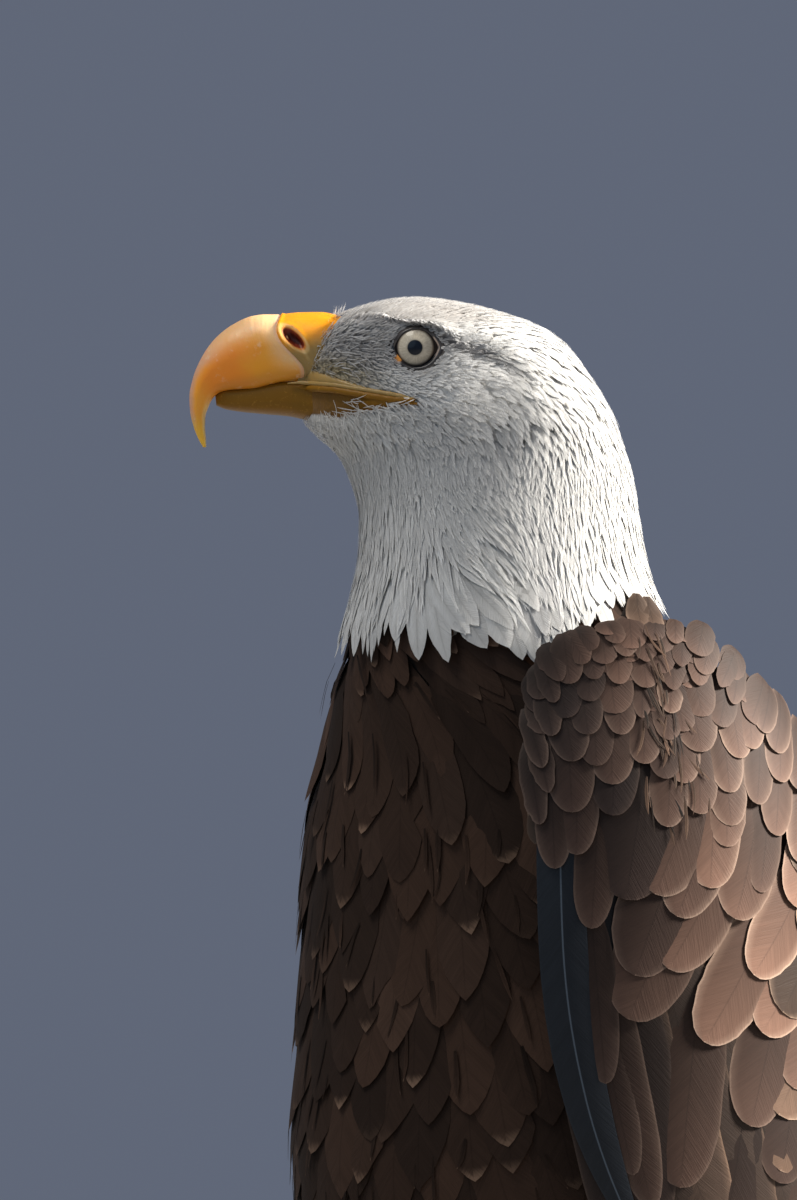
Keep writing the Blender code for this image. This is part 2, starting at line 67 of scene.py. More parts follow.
# height, axis x, axis f, slice's lead on the axis, half width, reach ahead,
# reach behind, turn in degrees, squareness
BODY = [
    (740.2, 2, 18, 31.0, 0.0, 0.0, 0.0, 40, 2.0),
    (739.7, 2, 18, 30.5, 8.5, 7.0, 6.5, 40, 2.0),
    (738.6, 2, 18, 29.5, 15.0, 14.0, 13.0, 40, 2.0),
    (736.6, 2, 18, 26.5, 21.5, 24.0, 19.5, 40, 2.1),
    (733.6, 2, 18, 20.5, 27.0, 37.5, 24.0, 40, 2.2),
    (728.6, 2, 18, 13.0, 31.5, 50.5, 28.0, 40, 2.3),
    (723.3, 2, 18, 7.0, 33.8, 59.5, 28.5, 40, 2.4),
    (717.5, 2, 18, 3.5, 35.4, 64.5, 29.5, 40, 2.4),
    (711.0, 2, 18, 1.5, 36.6, 67.5, 32.0, 40, 2.35),
    (704.5, 2, 18, 0.5, 37.3, 69.0, 35.0, 40, 2.3),
    (698.5, 2, 18, 0.0, 37.6, 68.5, 37.5, 40, 2.2),
    (693.0, 2, 18, 0.0, 37.8, 64.0, 39.2, 40, 2.15),
    (686.0, 2, 18, 0.0, 38.3, 56.5, 41.5, 40, 2.1),
    (677.0, 2, 18, 0.0, 39.8, 52.3, 43.7, 40, 2.05),
    (666.0, 2, 18, 0.0, 42.5, 49.6, 45.4, 39, 2.0),
    (654.0, 2, 17.5, 0.0, 46.5, 50.3, 47.0, 37, 2.0),
    (642.0, 2, 16.5, 0.0, 52.0, 53.2, 49.5, 33, 2.0),
    (631.0, 1.5, 14.5, 0.0, 58.5, 57.3, 52.5, 26, 2.0),
    (620.0, 1, 12, 0.0, 65.0, 60.5, 58.0, 18, 2.0),
    (606.0, 0, 8, 0.0, 73.0, 65.0, 64.5, 9, 2.05),
    (587.0, 0, 5, 0.0, 81.0, 67.0, 72.0, 3, 2.05),
    (560.0, 0, 1, 0.0, 86.0, 74.5, 82.0, 0, 2.1),
    (525.0, 0, -4, 0.0, 89.5, 81.5, 91.0, 0, 2.1),
    (485.0, 0, -8, 0.0, 90.5, 88.5, 96.5, 0, 2.1),
    (445.0, 0, -13, 0.0, 90.0, 97.0, 100.0, 0, 2.1),
    (410.0, 0, -20, 0.0, 89.0, 99.0, 98.5, 0, 2.1),
    (375.0, 0, -30, 0.0, 85.0, 93.0, 92.5, 0, 2.1),
    (340.0, 0, -43, 0.0, 79.0, 83.0, 82.5, 0, 2.1),
    (305.0, 0, -60, 0.0, 69.0, 68.0, 68.0, 0, 2.1),
    (276.0, 0, -78, 0.0, 56.0, 52.0, 52.0, 0, 2.1),
    (253.0, 0, -94, 0.0, 41.0, 36.0, 37.0, 0, 2.05),
    (237.0, 0, -107, 0.0, 26.0, 22.0, 23.5, 0, 2.0),
    (229.0, 0, -114, 0.0, 13.0, 10.5, 12.0, 0, 2.0),
    (227.0, 0, -117, 0.0, 0.0, 0.0, 0.0, 0, 2.0),
]
# height, half width, half depth and middle f of the oval the wing lies on,
# angle of its leading and rear edge from straight ahead, thickness
WING = [
    (637.5, 84, 80, -5, 67, 73, 14),
    (634.5, 86, 81.5, -5, 62, 75, 20),
    (627.0, 89.5, 83.5, -4, 57, 80.5, 27),
    (611.0, 95, 87, -3, 50, 91, 29),
    (589.0, 103, 92, -3, 44.5, 107.5, 29),
    (565.0, 108, 96, -4, 43.2, 127, 28),
    (535.0, 111, 100, -6, 42, 147, 27),
    (500.0, 112, 103, -9, 44, 156, 26),
    (465.0, 112, 104.5, -13, 47, 160, 25),
    (430.0, 110, 105, -19, 53, 163, 23),
    (395.0, 107.5, 103, -28, 60, 165, 21),
    (355.0, 103, 98, -39, 69, 167, 19),
    (315.0, 95.5, 89.5, -52, 80, 169, 17),
    (275.0, 86, 80, -67, 91, 170, 15),
    (235.0, 75, 70.5, -83, 101, 170, 13),
    (195.0, 64, 61, -99, 109, 169, 11),
    (155.0, 54, 52, -114, 116, 167, 9),
    (120.0, 46, 44.5, -127, 123, 164, 7),
    (95.0, 40, 39.5, -136.5, 130, 160, 5.5),
    (84.0, 38, 38, -140.5, 138, 154, 3),
]
# the right wing is held closer: height, degrees its edge lies further round, millimetres closer
RIGHT_WING = [(640.0, 7.0, 4.0), (627.0, 17.0, 6.5), (612.0, 24.0, 8.0), (585.0, 32.0, 10.0), (530.0, 33.0, 11.0), (480.0, 24.0, 9.5), (430.0, 15.0, 6.0), (330.0, 8.0, 3.0), (200.0, 3.0, 0.0), (80.0, 0.0, 0.0)]
# height, x, f, half width, half depth
THIGH = [
    (392.0, 49, -12, 14, 18),
    (378.0, 50, -13, 28, 35),
    (352.0, 52, -15, 36, 46),
    (320.0, 53.5, -17, 38.5, 51.5),
    (285.0, 54, -18, 38.5, 52),
    (250.0, 53.5, -20, 36.5, 49),
    (215.0, 52.5, -24, 33, 43.5),
    (180.0, 51.5, -30, 28.5, 36.5),
    (150.0, 50.5, -35, 24, 29.5),
    (124.0, 50, -38.5, 19.5, 23),
    (100.0, 50, -40, 15.5, 17.5),
    (80.0, 50, -40, 12, 12.5),
]
# distance from the root, half width, thickness, hollow of the underside
TAIL = [
    (0.0, 29.0, 20.0, 3.0),
    (45.0, 33.0, 19.0, 4.0),
    (85.0, 37.0, 14.0, 5.0),
    (130.0, 41.5, 10.0, 6.0),
    (180.0, 47.0, 7.0, 6.5),
    (225.0, 52.5, 5.0, 6.5),
    (250.0, 54.0, 3.6, 6.0),
    (258.0, 48.0, 2.4, 5.5),
]
TAIL_ROOT = (-102.0, 275.0)   # f and height
TAIL_SLOPE = 19.0             # degrees from straight down
# upper bill: culmen ahead and above the eye, cutting edge ahead and above, half width
BILL_UPPER = [
    (46.2, 10.9, 39.6, -12.2, 13.2),
    (50.7, 10.9, 44.6, -12.4, 12.7),
    (55.3, 10.3, 49.3, -13.4, 12.0),
    (61.3, 7.7, 54.6, -14.8, 11.0),
    (67.6, 2.8, 60.2, -14.8, 9.6),
    (72.2, -3.6, 65.2, -15.3, 7.9),
    (75.1, -10.4, 68.3, -17.4, 6.2),
    (76.4, -17.0, 70.0, -20.6, 4.8),
    (76.1, -22.3, 71.0, -24.0, 3.7),
    (75.0, -27.0, 71.1, -27.7, 2.7),
    (73.4, -31.2, 70.8, -31.2, 1.7),
    (71.7, -34.2, 70.7, -34.0, 0.7),
]
CERE = [
    (14.0, 12.0, 14.0, -14.6, 15.6),
    (24.0, 12.2, 24.0, -13.6, 15.2),
    (32.0, 12.2, 30.5, -12.8, 14.5),
    (39.0, 11.6, 35.4, -12.4, 13.8),
    (45.8, 10.9, 39.2, -12.2, 13.2),
]
CERE_BEND = 2.9            # how far the cere's front edge swings ahead high up and back low down
BILL_LOWER = [
    (14.0, -16.0, 16.0, -28.5, 15.0),
    (24.0, -14.8, 26.0, -27.0, 13.9),
    (33.0, -13.5, 35.0, -25.3, 12.7),
    (43.0, -13.3, 43.0, -23.6, 11.3),
    (50.7, -14.6, 50.7, -22.9, 10.0),
    (58.0, -15.9, 58.0, -22.2, 8.4),
    (64.4, -16.6, 64.2, -21.2, 6.0),
    (67.6, -18.0, 67.2, -20.0, 3.2),
]
# x, f, height, radius
TARSUS = [(50, -40, 79.6, 7.9), (50, -39.5, 62, 7.8), (50, -38, 42, 8.3), (50, -36.5, 27, 9.6), (50, -36, 17, 10.8)]
FOOT = (50.0, -36.0)
FOOT_SPLAY = 8.0
# name, bearing outwards from straight ahead, bare length, thickness, talon length
TOES = [
    ("middle", 3.0, 65.0, 8.2, 33.0),
    ("inner", -34.0, 47.0, 8.0, 35.0),
    ("outer", 41.0, 51.0, 7.6, 30.0),
    ("hind", 176.0, 37.0, 8.8, 41.0),
]


# ---------------------------------------------------------------- shape rules
def through(table, at):
    """Smooth rows between the rows of a table: at counts rows, and no value overshoots."""
    y = np.array([row[:] for row in table], float)
    at = np.clip(np.asarray(at, float), 0, len(y) - 1)
    d = np.diff(y, axis=0)
    m = np.zeros_like(y)
    a, b = d[:-1], d[1:]
    same = a * b > 0
    m[1:-1] = np.where(same, 2 * a * b / np.where(same, a + b, 1), 0)
    m[0], m[-1] = d[0], d[-1]
    i = np.minimum(at.astype(int), len(y) - 2)
    s = (at - i)[..., None]
    return (
        (2 * s**3 - 3 * s**2 + 1) * y[i]
        + (s**3 - 2 * s**2 + s) * m[i]
        + (3 * s**2 - 2 * s**3) * y[i + 1]
        + (s**3 - s**2) * m[i + 1]
    )


ROWS = {}


def at_height(table, z):
    """Smooth values of a table that runs downwards, at heights z."""
    key = id(table)
    if key not in ROWS:
        t = np.linspace(0, len(table) - 1, 8001)
        ROWS[key] = (-through(table, t)[:, 0], t)
    zs, t = ROWS[key]
    return np.moveaxis(through(table, np.interp(-np.asarray(z, float), zs, t)), -1, 0)


def step(lo, hi, x):
    s = np.clip((np.asarray(x, float) - lo) / (hi - lo), 0, 1)
    return s * s * (3 - 2 * s)


def facing(turn):
    r = np.radians(turn)
    return (np.cos(r), -np.sin(r)), (-np.sin(r), -np.cos(r))


def brow_edge(ahead):
    """Height of the brow's lower edge over the pupil line."""
    d = np.asarray(ahead, float) + 3
    return np.minimum(8.3 + np.where(d > 0, 0.012, -0.037) * d * d, 11.0)


def face_relief(ahead, up):
    """How far the side of the face stands out: brow ridge, eye socket, lore, cheek and the crease behind the eye."""
    over = up - brow_edge(ahead)
    along = np.exp(-(((ahead - 0.5) / 15.0) ** 4))
    brow = 3.1 * along * step(-1.3, 1.0, over) * np.exp(-np.maximum(over, 0) / 4.5)
    socket = -3.4 * np.exp(-((ahead / 10.0) ** 2 + ((up + 0.5) / 8.5) ** 2)) * (1 - step(-1.3, 1.0, over))
    lore = -2.2 * np.exp(-(((ahead - 19) / 8.0) ** 2 + ((up - 1) / 7.0) ** 2))
    cheek = 1.4 * np.exp(-(((ahead + 12) / 14.0) ** 2 + ((up + 19) / 11.0) ** 2))
    crease = -1.2 * np.exp(-(((ahead + 24) / 9.0) ** 2 + ((up + 4.6 + 0.45 * (ahead + 27)* -1) / 2.6) ** 2))
    return socket + brow + lore + cheek + crease


def body(z, phi):
    """Points of the body's outline: height, and angle round from straight ahead towards the left."""
    z, phi = np.broadcast_arrays(np.asarray(z, float), np.asarray(phi, float))
    _, ax, af, lead, side, front, back, turn, n = at_height(BODY, z)
    c, s = np.cos(phi), np.sin(phi)
    ahead = np.where(c > 0, front, back) * np.sign(c) * np.abs(c) ** (2 / n)
    left = side * np.sign(s) * np.abs(s) ** (2 / n)
    on_face = np.clip((z - 690) / 12, 0, 1)
    relief = face_relief(lead + ahead - EYE_AHEAD, z - EYE_Z) * on_face
    left = left + np.sign(left) * relief * np.clip(np.abs(left) / 14, 0, 1) ** 2
    (lx, ly), (fx, fy) = facing(turn)
    x = ax + left * lx + (lead + ahead) * fx
    y = -af + left * ly + (lead + ahead) * fy
    return np.stack([x, y, z + 0 * x], -1)


def side_of(ahead, up):
    """Half width of the head at a place given from the pupil line."""
    z = EYE_Z + np.asarray(up, float)
    _, ax, af, lead, side, front, back, turn, n = at_height(BODY, z)
    a = np.asarray(ahead, float) + EYE_AHEAD - lead
    r = np.clip(np.abs(a) / np.where(a > 0, front, back), 0, 1)
    left = side * (1 - r**n) ** (1 / n)
    return left + face_relief(ahead, up) * np.clip((z - 690) / 12, 0, 1) * np.clip(left / 14, 0, 1) ** 2


(HLX, HLY), (HFX, HFY) = facing(HEAD_TURN)


def on_head(ahead, up, side):
    """Points given from the pupil line: ahead towards the bill, up, and to the head's left."""
    ahead, up, side = np.broadcast_arrays(*(np.asarray(c, float) for c in (ahead, up, side)))
    a = ahead + EYE_AHEAD
    return np.stack([HEAD_AXIS[0] + side * HLX + a * HFX, -HEAD_AXIS[1] + side * HLY + a * HFY, EYE_Z + up], -1)


def from_head(p):
    """(ahead, up, side) of points, the inverse of on_head."""
    dx, dy = p[..., 0] - HEAD_AXIS[0], p[..., 1] + HEAD_AXIS[1]
    return dx * HFX + dy * HFY - EYE_AHEAD, p[..., 2] - EYE_Z, dx * HLX + dy * HLY


def wing_surface(tucked):
    """The oval sheet that a folded left wing lies on, as a function of height and angle."""

    def sheet(z, phi):
        z, phi = np.broadcast_arrays(np.asarray(z, float), np.asarray(phi, float))
        _, a, b, mid, lead, rear, thick = at_height(WING, z)
        if tucked:
            a = a - at_height(RIGHT_WING, z)[2]
        return np.stack([a * np.sin(phi), -(mid + b * np.cos(phi)), z + 0 * a], -1)

    return sheet


def wing_edges(z, tucked):
    _, a, b, mid, lead, rear, thick = at_height(WING, z)
    if tucked:
        lead = lead + at_height(RIGHT_WING, z)[1]
    return np.radians(lead), np.radians(rear), thick


def thigh(z, phi):
    z, phi = np.broadcast_arrays(np.asarray(z, float), np.asarray(phi, float))
    _, x, f, a, b = at_height(THIGH, z)
    return np.stack([x + a * np.sin(phi), -(f + b * np.cos(phi)), z + 0 * x], -1)


# where the frame's origin lies: the left eye's place is known in both
low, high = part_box("eye_left")
SHIFT = np.array([(low.x + high.x) / 2, (low.y + high.y) / 2, 0.0]) - on_head(-0.6, 0, EYE_SIDE) * [MM, MM, 0]


# ------------------------------------------------------------------- materials
def nodes_of(name):
    made = bpy.data.materials.new(name)
    made.use_nodes = True
    tree = made.node_tree
    return made, tree, tree.nodes["Principled BSDF"]


def node(tree, kind, **values):
    made = tree.nodes.new(kind)
    for key, value in values.items():
        if key.startswith("in_"):
            made.inputs[int(key[3:])].default_value = value
        else:
            setattr(made, key, value)
    return made


def maths(tree, operation, a, b=None, c=None, clamp=False):
    made = tree.nodes.new("ShaderNodeMath")
    made.operation = operation
    made.use_clamp = clamp
    for socket, value in zip(made.inputs, (a, b, c)):
        if value is None:
            continue
        if isinstance(value, (int, float)):
            socket.default_value = value
        else:
            tree.links.new(value, socket)
    return made.outputs[0]


def blend_colour(tree, how, factor, a, b):
    made = tree.nodes.new("ShaderNodeMix")
    made.data_type = "RGBA"
    made.blend_type = how
    made.clamp_factor = True
    for index, value in ((0, factor), (6, a), (7, b)):
        socket = made.inputs[index]
        if isinstance(value, (int, float)):
            socket.default_value = value
        elif isinstance(value, tuple):
            socket.default_value = (*value, 1)
        else:
            tree.links.new(value, socket)
    return made.outputs[2]


def ramp(tree, value, lo, hi, to_lo=0.0, to_hi=1.0, smooth=True):
    made = tree.nodes.new("ShaderNodeMapRange")
    made.interpolation_type = "SMOOTHSTEP" if smooth else "LINEAR"
    tree.links.new(value, made.inputs[0])
    for i, v in enumerate((lo, hi, to_lo, to_hi)):
        made.inputs[i + 1].default_value = v
    return made.outputs[0]


def noise(tree, vector, scale, detail=2.0, rough=0.5):
    made = tree.nodes.new("ShaderNodeTexNoise")
    made.inputs["Scale"].default_value = scale
    made.inputs["Detail"].default_value = detail
    made.inputs["Roughness"].default_value = rough
    if vector is not None:
        tree.links.new(vector, made.inputs["Vector"])
    return made.outputs[0]


def bump(tree, bsdf, height, strength, distance):
    made = tree.nodes.new("ShaderNodeBump")
    made.inputs["Strength"].default_value = strength
    made.inputs["Distance"].default_value = distance
    tree.links.new(height, made.inputs["Height"])
    tree.links.new(made.outputs[0], bsdf.inputs["Normal"])


def plumage(name, roughness, barb_bump, streak, sheen, margin=1.5, shaft=0.0, tip_only=False, barb_scale=1.35, glow=0.0, pale_shaft=False, gloss=0.16):
    """Feather vane: tone from the vertex colour, fine barbs that slant from the shaft, a thin paler margin and a shaft line."""
    made, tree, bsdf = nodes_of(name)
    link = tree.links.new
    tone = node(tree, "ShaderNodeAttribute", attribute_name="Tone").outputs["Color"]
    rim = node(tree, "ShaderNodeAttribute", attribute_name="Rim").outputs["Color"]
    vane = node(tree, "ShaderNodeAttribute", attribute_name="Vane").outputs["Vector"]
    form = node(tree, "ShaderNodeAttribute", attribute_name="Form").outputs["Vector"]
    vane_xyz = tree.nodes.new("ShaderNodeSeparateXYZ")
    form_xyz = tree.nodes.new("ShaderNodeSeparateXYZ")
    link(vane, vane_xyz.inputs[0])
    link(form, form_xyz.inputs[0])
    across, along, which = vane_xyz.outputs
    s, t, pale = form_xyz.outputs
    out = maths(tree, "ABSOLUTE", across)
    slant = maths(tree, "MULTIPLY_ADD", out, -1.25, along)
    barb_at = tree.nodes.new("ShaderNodeCombineXYZ")
    link(slant, barb_at.inputs[0])
    link(maths(tree, "MULTIPLY", out, 0.10), barb_at.inputs[1])
    link(maths(tree, "MULTIPLY", which, 37.0), barb_at.inputs[2])
    barbs = noise(tree, barb_at.outputs[0], barb_scale, 3.0, 0.62)
    broad = noise(tree, barb_at.outputs[0], 0.22, 2.0)
    # the margin's distance in from the vane's edge, in millimetres, its line broken by the barbs
    side = maths(tree, "ABSOLUTE", s)
    inward = maths(tree, "DIVIDE", maths(tree, "MULTIPLY", out, maths(tree, "SUBTRACT", 1.0, side)), maths(tree, "MAXIMUM", side, 0.08))
    inward = maths(tree, "ADD", inward, maths(tree, "MULTIPLY_ADD", barbs, 1.3, -0.65))
    edge = ramp(tree, inward, margin, 0.0)
    if tip_only:
        edge = maths(tree, "MULTIPLY", ramp(tree, maths(tree, "MULTIPLY_ADD", barbs, 0.05, t), 0.925, 1.01), ramp(tree, inward, margin * 3.0, margin * 0.8, 0.35, 1.0))
    else:
        # a fine pale line at the very edge over a fainter, wider one, strongest at the tip
        edge = maths(tree, "MULTIPLY_ADD", ramp(tree, inward, margin * 0.42, 0.05), 0.64, maths(tree, "MULTIPLY", ramp(tree, inward, margin * 1.5, 0.0), 0.36))
        edge = maths(tree, "MULTIPLY", edge, ramp(tree, t, 0.15, 0.90, 0.40, 1.0))
        edge = maths(tree, "MULTIPLY", edge, ramp(tree, side, 0.12, 0.24))
    colour = blend_colour(tree, "MIX", maths(tree, "MULTIPLY", edge, pale), tone, rim)
    dark = ramp(tree, barbs, 0.30, 0.70, 1 - streak, 1 + streak * 0.55, smooth=False)
    dark = maths(tree, "MULTIPLY", dark, ramp(tree, broad, 0.3, 0.7, 1 - streak * 0.8, 1 + streak * 0.6, smooth=False))
    grey = tree.nodes.new("ShaderNodeCombineColor")
    for socket in grey.inputs[:3]:
        link(dark, socket)
    colour = blend_colour(tree, "MULTIPLY", 1.0, colour, grey.outputs[0])
    if shaft:
        line = maths(tree, "MULTIPLY", ramp(tree, out, 0.12, 0.42, 1.0, 0.0), shaft)
        line = maths(tree, "MULTIPLY", line, ramp(tree, t, 0.86, 1.0, 1.0, 0.0))
        darker = blend_colour(tree, "MULTIPLY", 1.0, tone, (0.28, 0.28, 0.30))
        colour = blend_colour(tree, "MIX", line, colour, rim if pale_shaft else darker)
    link(colour, bsdf.inputs["Base Color"])
    bsdf.inputs["Roughness"].default_value = roughness
    bsdf.inputs["Specular IOR Level"].default_value = gloss
    bsdf.inputs["Sheen Weight"].default_value = sheen
    bsdf.inputs["Sheen Roughness"].default_value = 0.5
    bsdf.inputs["Subsurface Weight"].default_value = glow
    bsdf.inputs["Subsurface Radius"].default_value = (0.0030, 0.0028, 0.0026)
    bsdf.inputs["Subsurface Scale"].default_value = 1.0
    bump(tree, bsdf, barbs, barb_bump, 0.0006)
    return made


WHITE = plumage("white_plumage", 0.80, 0.30, 0.05, 0.10, margin=0.6, shaft=0.14, glow=0.5, gloss=0.2)
BROWN = plumage("brown_plumage", 0.75, 0.22, 0.14, 0.02, margin=1.5, shaft=0.25, tip_only=True, barb_scale=1.3, gloss=0.05)
WING_BROWN = plumage("wing_plumage", 0.58, 0.20, 0.10, 0.02, margin=2.5, shaft=0.26, barb_scale=1.3, gloss=0.12)
QUILL_BROWN = plumage("quill_plumage", 0.42, 0.22, 0.12, 0.02, margin=0.8, shaft=0.7, barb_scale=1.1, pale_shaft=True)


# ------------------------------------------------------------- feather builder
class Coat:
    """Gathers vanes of one piece and makes them one mesh."""

    def __init__(self, name, material, slot, low_z, high_z, patch=0.003, soft=0.0):
        self.name, self.material, self.slot_name = name, material, slot
        self.soft, self.ways = soft, []
        self.low_z, self.high_z, self.patch = low_z, high_z, patch
        self.points, self.faces, self.tones, self.rims, self.vanes, self.forms, self.uvs = [], [], [], [], [], [], []
        self.count = 0
        self.taken = set()

    def add(self, top, under, s_top, s_under, t, width, length, tone, rim, pale, root, flip=False, way_out=None):
        """top and under are (feathers, stations, columns, 3) grids that share their outer columns' places."""
        n, k = top.shape[:2]
        ident = RNG.random(n)
        for grid, s, turn in ((top, s_top, flip), (under, s_under, not flip)):
            m = grid.shape[2]
            ss = np.broadcast_to(np.asarray(s)[None, None, :], (n, k, m))
            tt = np.broadcast_to(np.asarray(t)[None, :, None], (n, k, m))
            vane = np.stack([ss * width[:, :, None], tt * length[:, None, None], np.broadcast_to(ident[:, None, None], (n, k, m))], -1)
            form = np.stack([ss, tt, np.broadcast_to(pale[:, None, None], (n, k, m))], -1)
            shade = np.broadcast_to(tone[:, None, None, :], (n, k, m, 3)) if tone.ndim == 2 else np.broadcast_to(tone[:, :, None, :], (n, k, m, 3))
            if turn != flip:
                shade = shade * 0.8
            edge = np.broadcast_to(rim[:, None, None, :], (n, k, m, 3))
            a = np.arange(k - 1)[:, None] * m + np.arange(m - 1)[None, :]
            quad = np.stack([a, a + m, a + m + 1, a + 1], -1).reshape(-1, 4)
            if turn:
                quad = quad[:, ::-1]
            faces = quad[None] + (self.count + np.arange(n) * k * m)[:, None, None]
            self.count += n * k * m
            self.points.append(grid.reshape(-1, 3))
            if self.soft:
                # the way out of the body below: the plumage is shaded partly by it, so that it looks soft
                if way_out is None or turn != flip:
                    self.ways.append(np.zeros((n * k * m, 3)))
                else:
                    self.ways.append(np.broadcast_to(way_out, (n, k, m, 3)).reshape(-1, 3))
            self.faces.append(faces.reshape(-1, 4))
            self.tones.append(shade.reshape(-1, 3))
            self.rims.append(edge.reshape(-1, 3))
            self.vanes.append(vane.reshape(-1, 3))
            self.forms.append(form.reshape(-1, 3))
            place = root[:, None, None, :] + np.stack([ss, 2 * tt - 1], -1) * (self.patch / 2)
            self.uvs.append(place.reshape(-1, 2))

    def places(self, turn, z):
        """The root's place on an unwrap of the skin: round the body, and up it. Broad vanes each take the nearest free cell."""
        u = (np.asarray(turn) / (2 * np.pi)) % 1.0
        v = np.clip((np.asarray(z) - self.low_z) / (self.high_z - self.low_z), 0, 1)
        spot = np.stack([u, v], -1) * (1 - 2 * self.patch) + self.patch
        if self.patch < 0.008:
            return spot
        cells = int(0.98 / (self.patch * 1.15))
        out = np.empty_like(spot)
        for i, (a, b) in enumerate(np.clip((spot * cells).astype(int), 0, cells - 1)):
            for ring in range(cells):
                near = [(a + da, b + db) for da in range(-ring, ring + 1) for db in range(-ring, ring + 1) if max(abs(da), abs(db)) == ring]
                free = [c for c in near if 0 <= c[0] < cells and 0 <= c[1] < cells and c not in self.taken]
                if free:
                    break
            self.taken.add(free[0])
            out[i] = (np.array(free[0]) + 0.5) / cells * 0.98 + 0.01
        return out

    def make(self, replaces=()):
        points = np.concatenate(self.points) * MM + SHIFT
        faces = np.concatenate(self.faces)
        mesh = bpy.data.meshes.new(self.name)
        mesh.vertices.add(len(points))
        mesh.vertices.foreach_set("co", points.astype(np.float32).ravel())
        mesh.loops.add(faces.size)
        mesh.loops.foreach_set("vertex_index", faces.astype(np.int32).ravel())
        mesh.polygons.add(len(faces))
        mesh.polygons.foreach_set("loop_start", np.arange(0, faces.size, 4, dtype=np.int32))
        for name, kind, rows, width in (("Tone", "FLOAT_COLOR", self.tones, 4), ("Rim", "FLOAT_COLOR", self.rims, 4), ("Vane", "FLOAT_VECTOR", self.vanes, 3), ("Form", "FLOAT_VECTOR", self.forms, 3)):
            values = np.concatenate(rows)
            if width == 4:
                values = np.concatenate([np.clip(values, 0, 1), np.ones((len(values), 1))], 1)
            layer = mesh.attributes.new(name, kind, "POINT")
            layer.data.foreach_set("color" if width == 4 else "vector", values.astype(np.float32).ravel())
        uv = np.concatenate(self.uvs)[faces.ravel()]
        mesh.uv_layers.new(name="OFBake").data.foreach_set("uv", uv.astype(np.float32).ravel())
        mesh.update(calc_edges=True)
        mesh.validate()
        mesh.shade_smooth()
        if self.soft and len(mesh.vertices) == len(points):
            own = np.empty(len(points) * 3, np.float32)
            mesh.vertex_normals.foreach_get("vector", own)
            mixed_way = own.reshape(-1, 3) * (1 - self.soft) + np.concatenate(self.ways) * self.soft
            mesh.normals_split_custom_set_from_vertices((mixed_way / lengths(mixed_way)[:, None]).tolist())
        mesh.materials.append(self.material)
        obj = bpy.data.objects.new(self.name, mesh)
        bpy.context.scene.collection.objects.link(obj)
        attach(obj, "root")
        for name in replaces:
            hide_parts(name)
        print(f"coat {self.name}: {len(faces) * 2} triangles")
        return obj


def outline(t, tip, full=0.32, start=0.35):
    """Half width along a vane, 0 to 1: it widens from the root, and closes round (tip 0.5) or pointed (tip 1 and over)."""
    t = np.asarray(t, float)
    body_part = start + (1 - start) * np.sin(np.clip(t / full, 0, 1) * np.pi / 2)
    s = np.clip((t - 0.58) / 0.42, 0, 1)
    return body_part * np.maximum(1 - s**2, 0) ** tip


def stations(k, bunch=1.6):
    """Stations from root to tip, closer together near the tip."""
    x = np.linspace(0, 1, k + 1)
    return 1 - (1 - x) ** bunch


def slopes(sheet, z, phi):
    dz = (sheet(z + 0.6, phi) - sheet(z - 0.6, phi)) / 1.2
    dp = (sheet(z, phi + 0.006) - sheet(z, phi - 0.006)) / 0.012
    return dz, dp


def lengths(v):
    return np.maximum(np.linalg.norm(v, axis=-1), 1e-6)


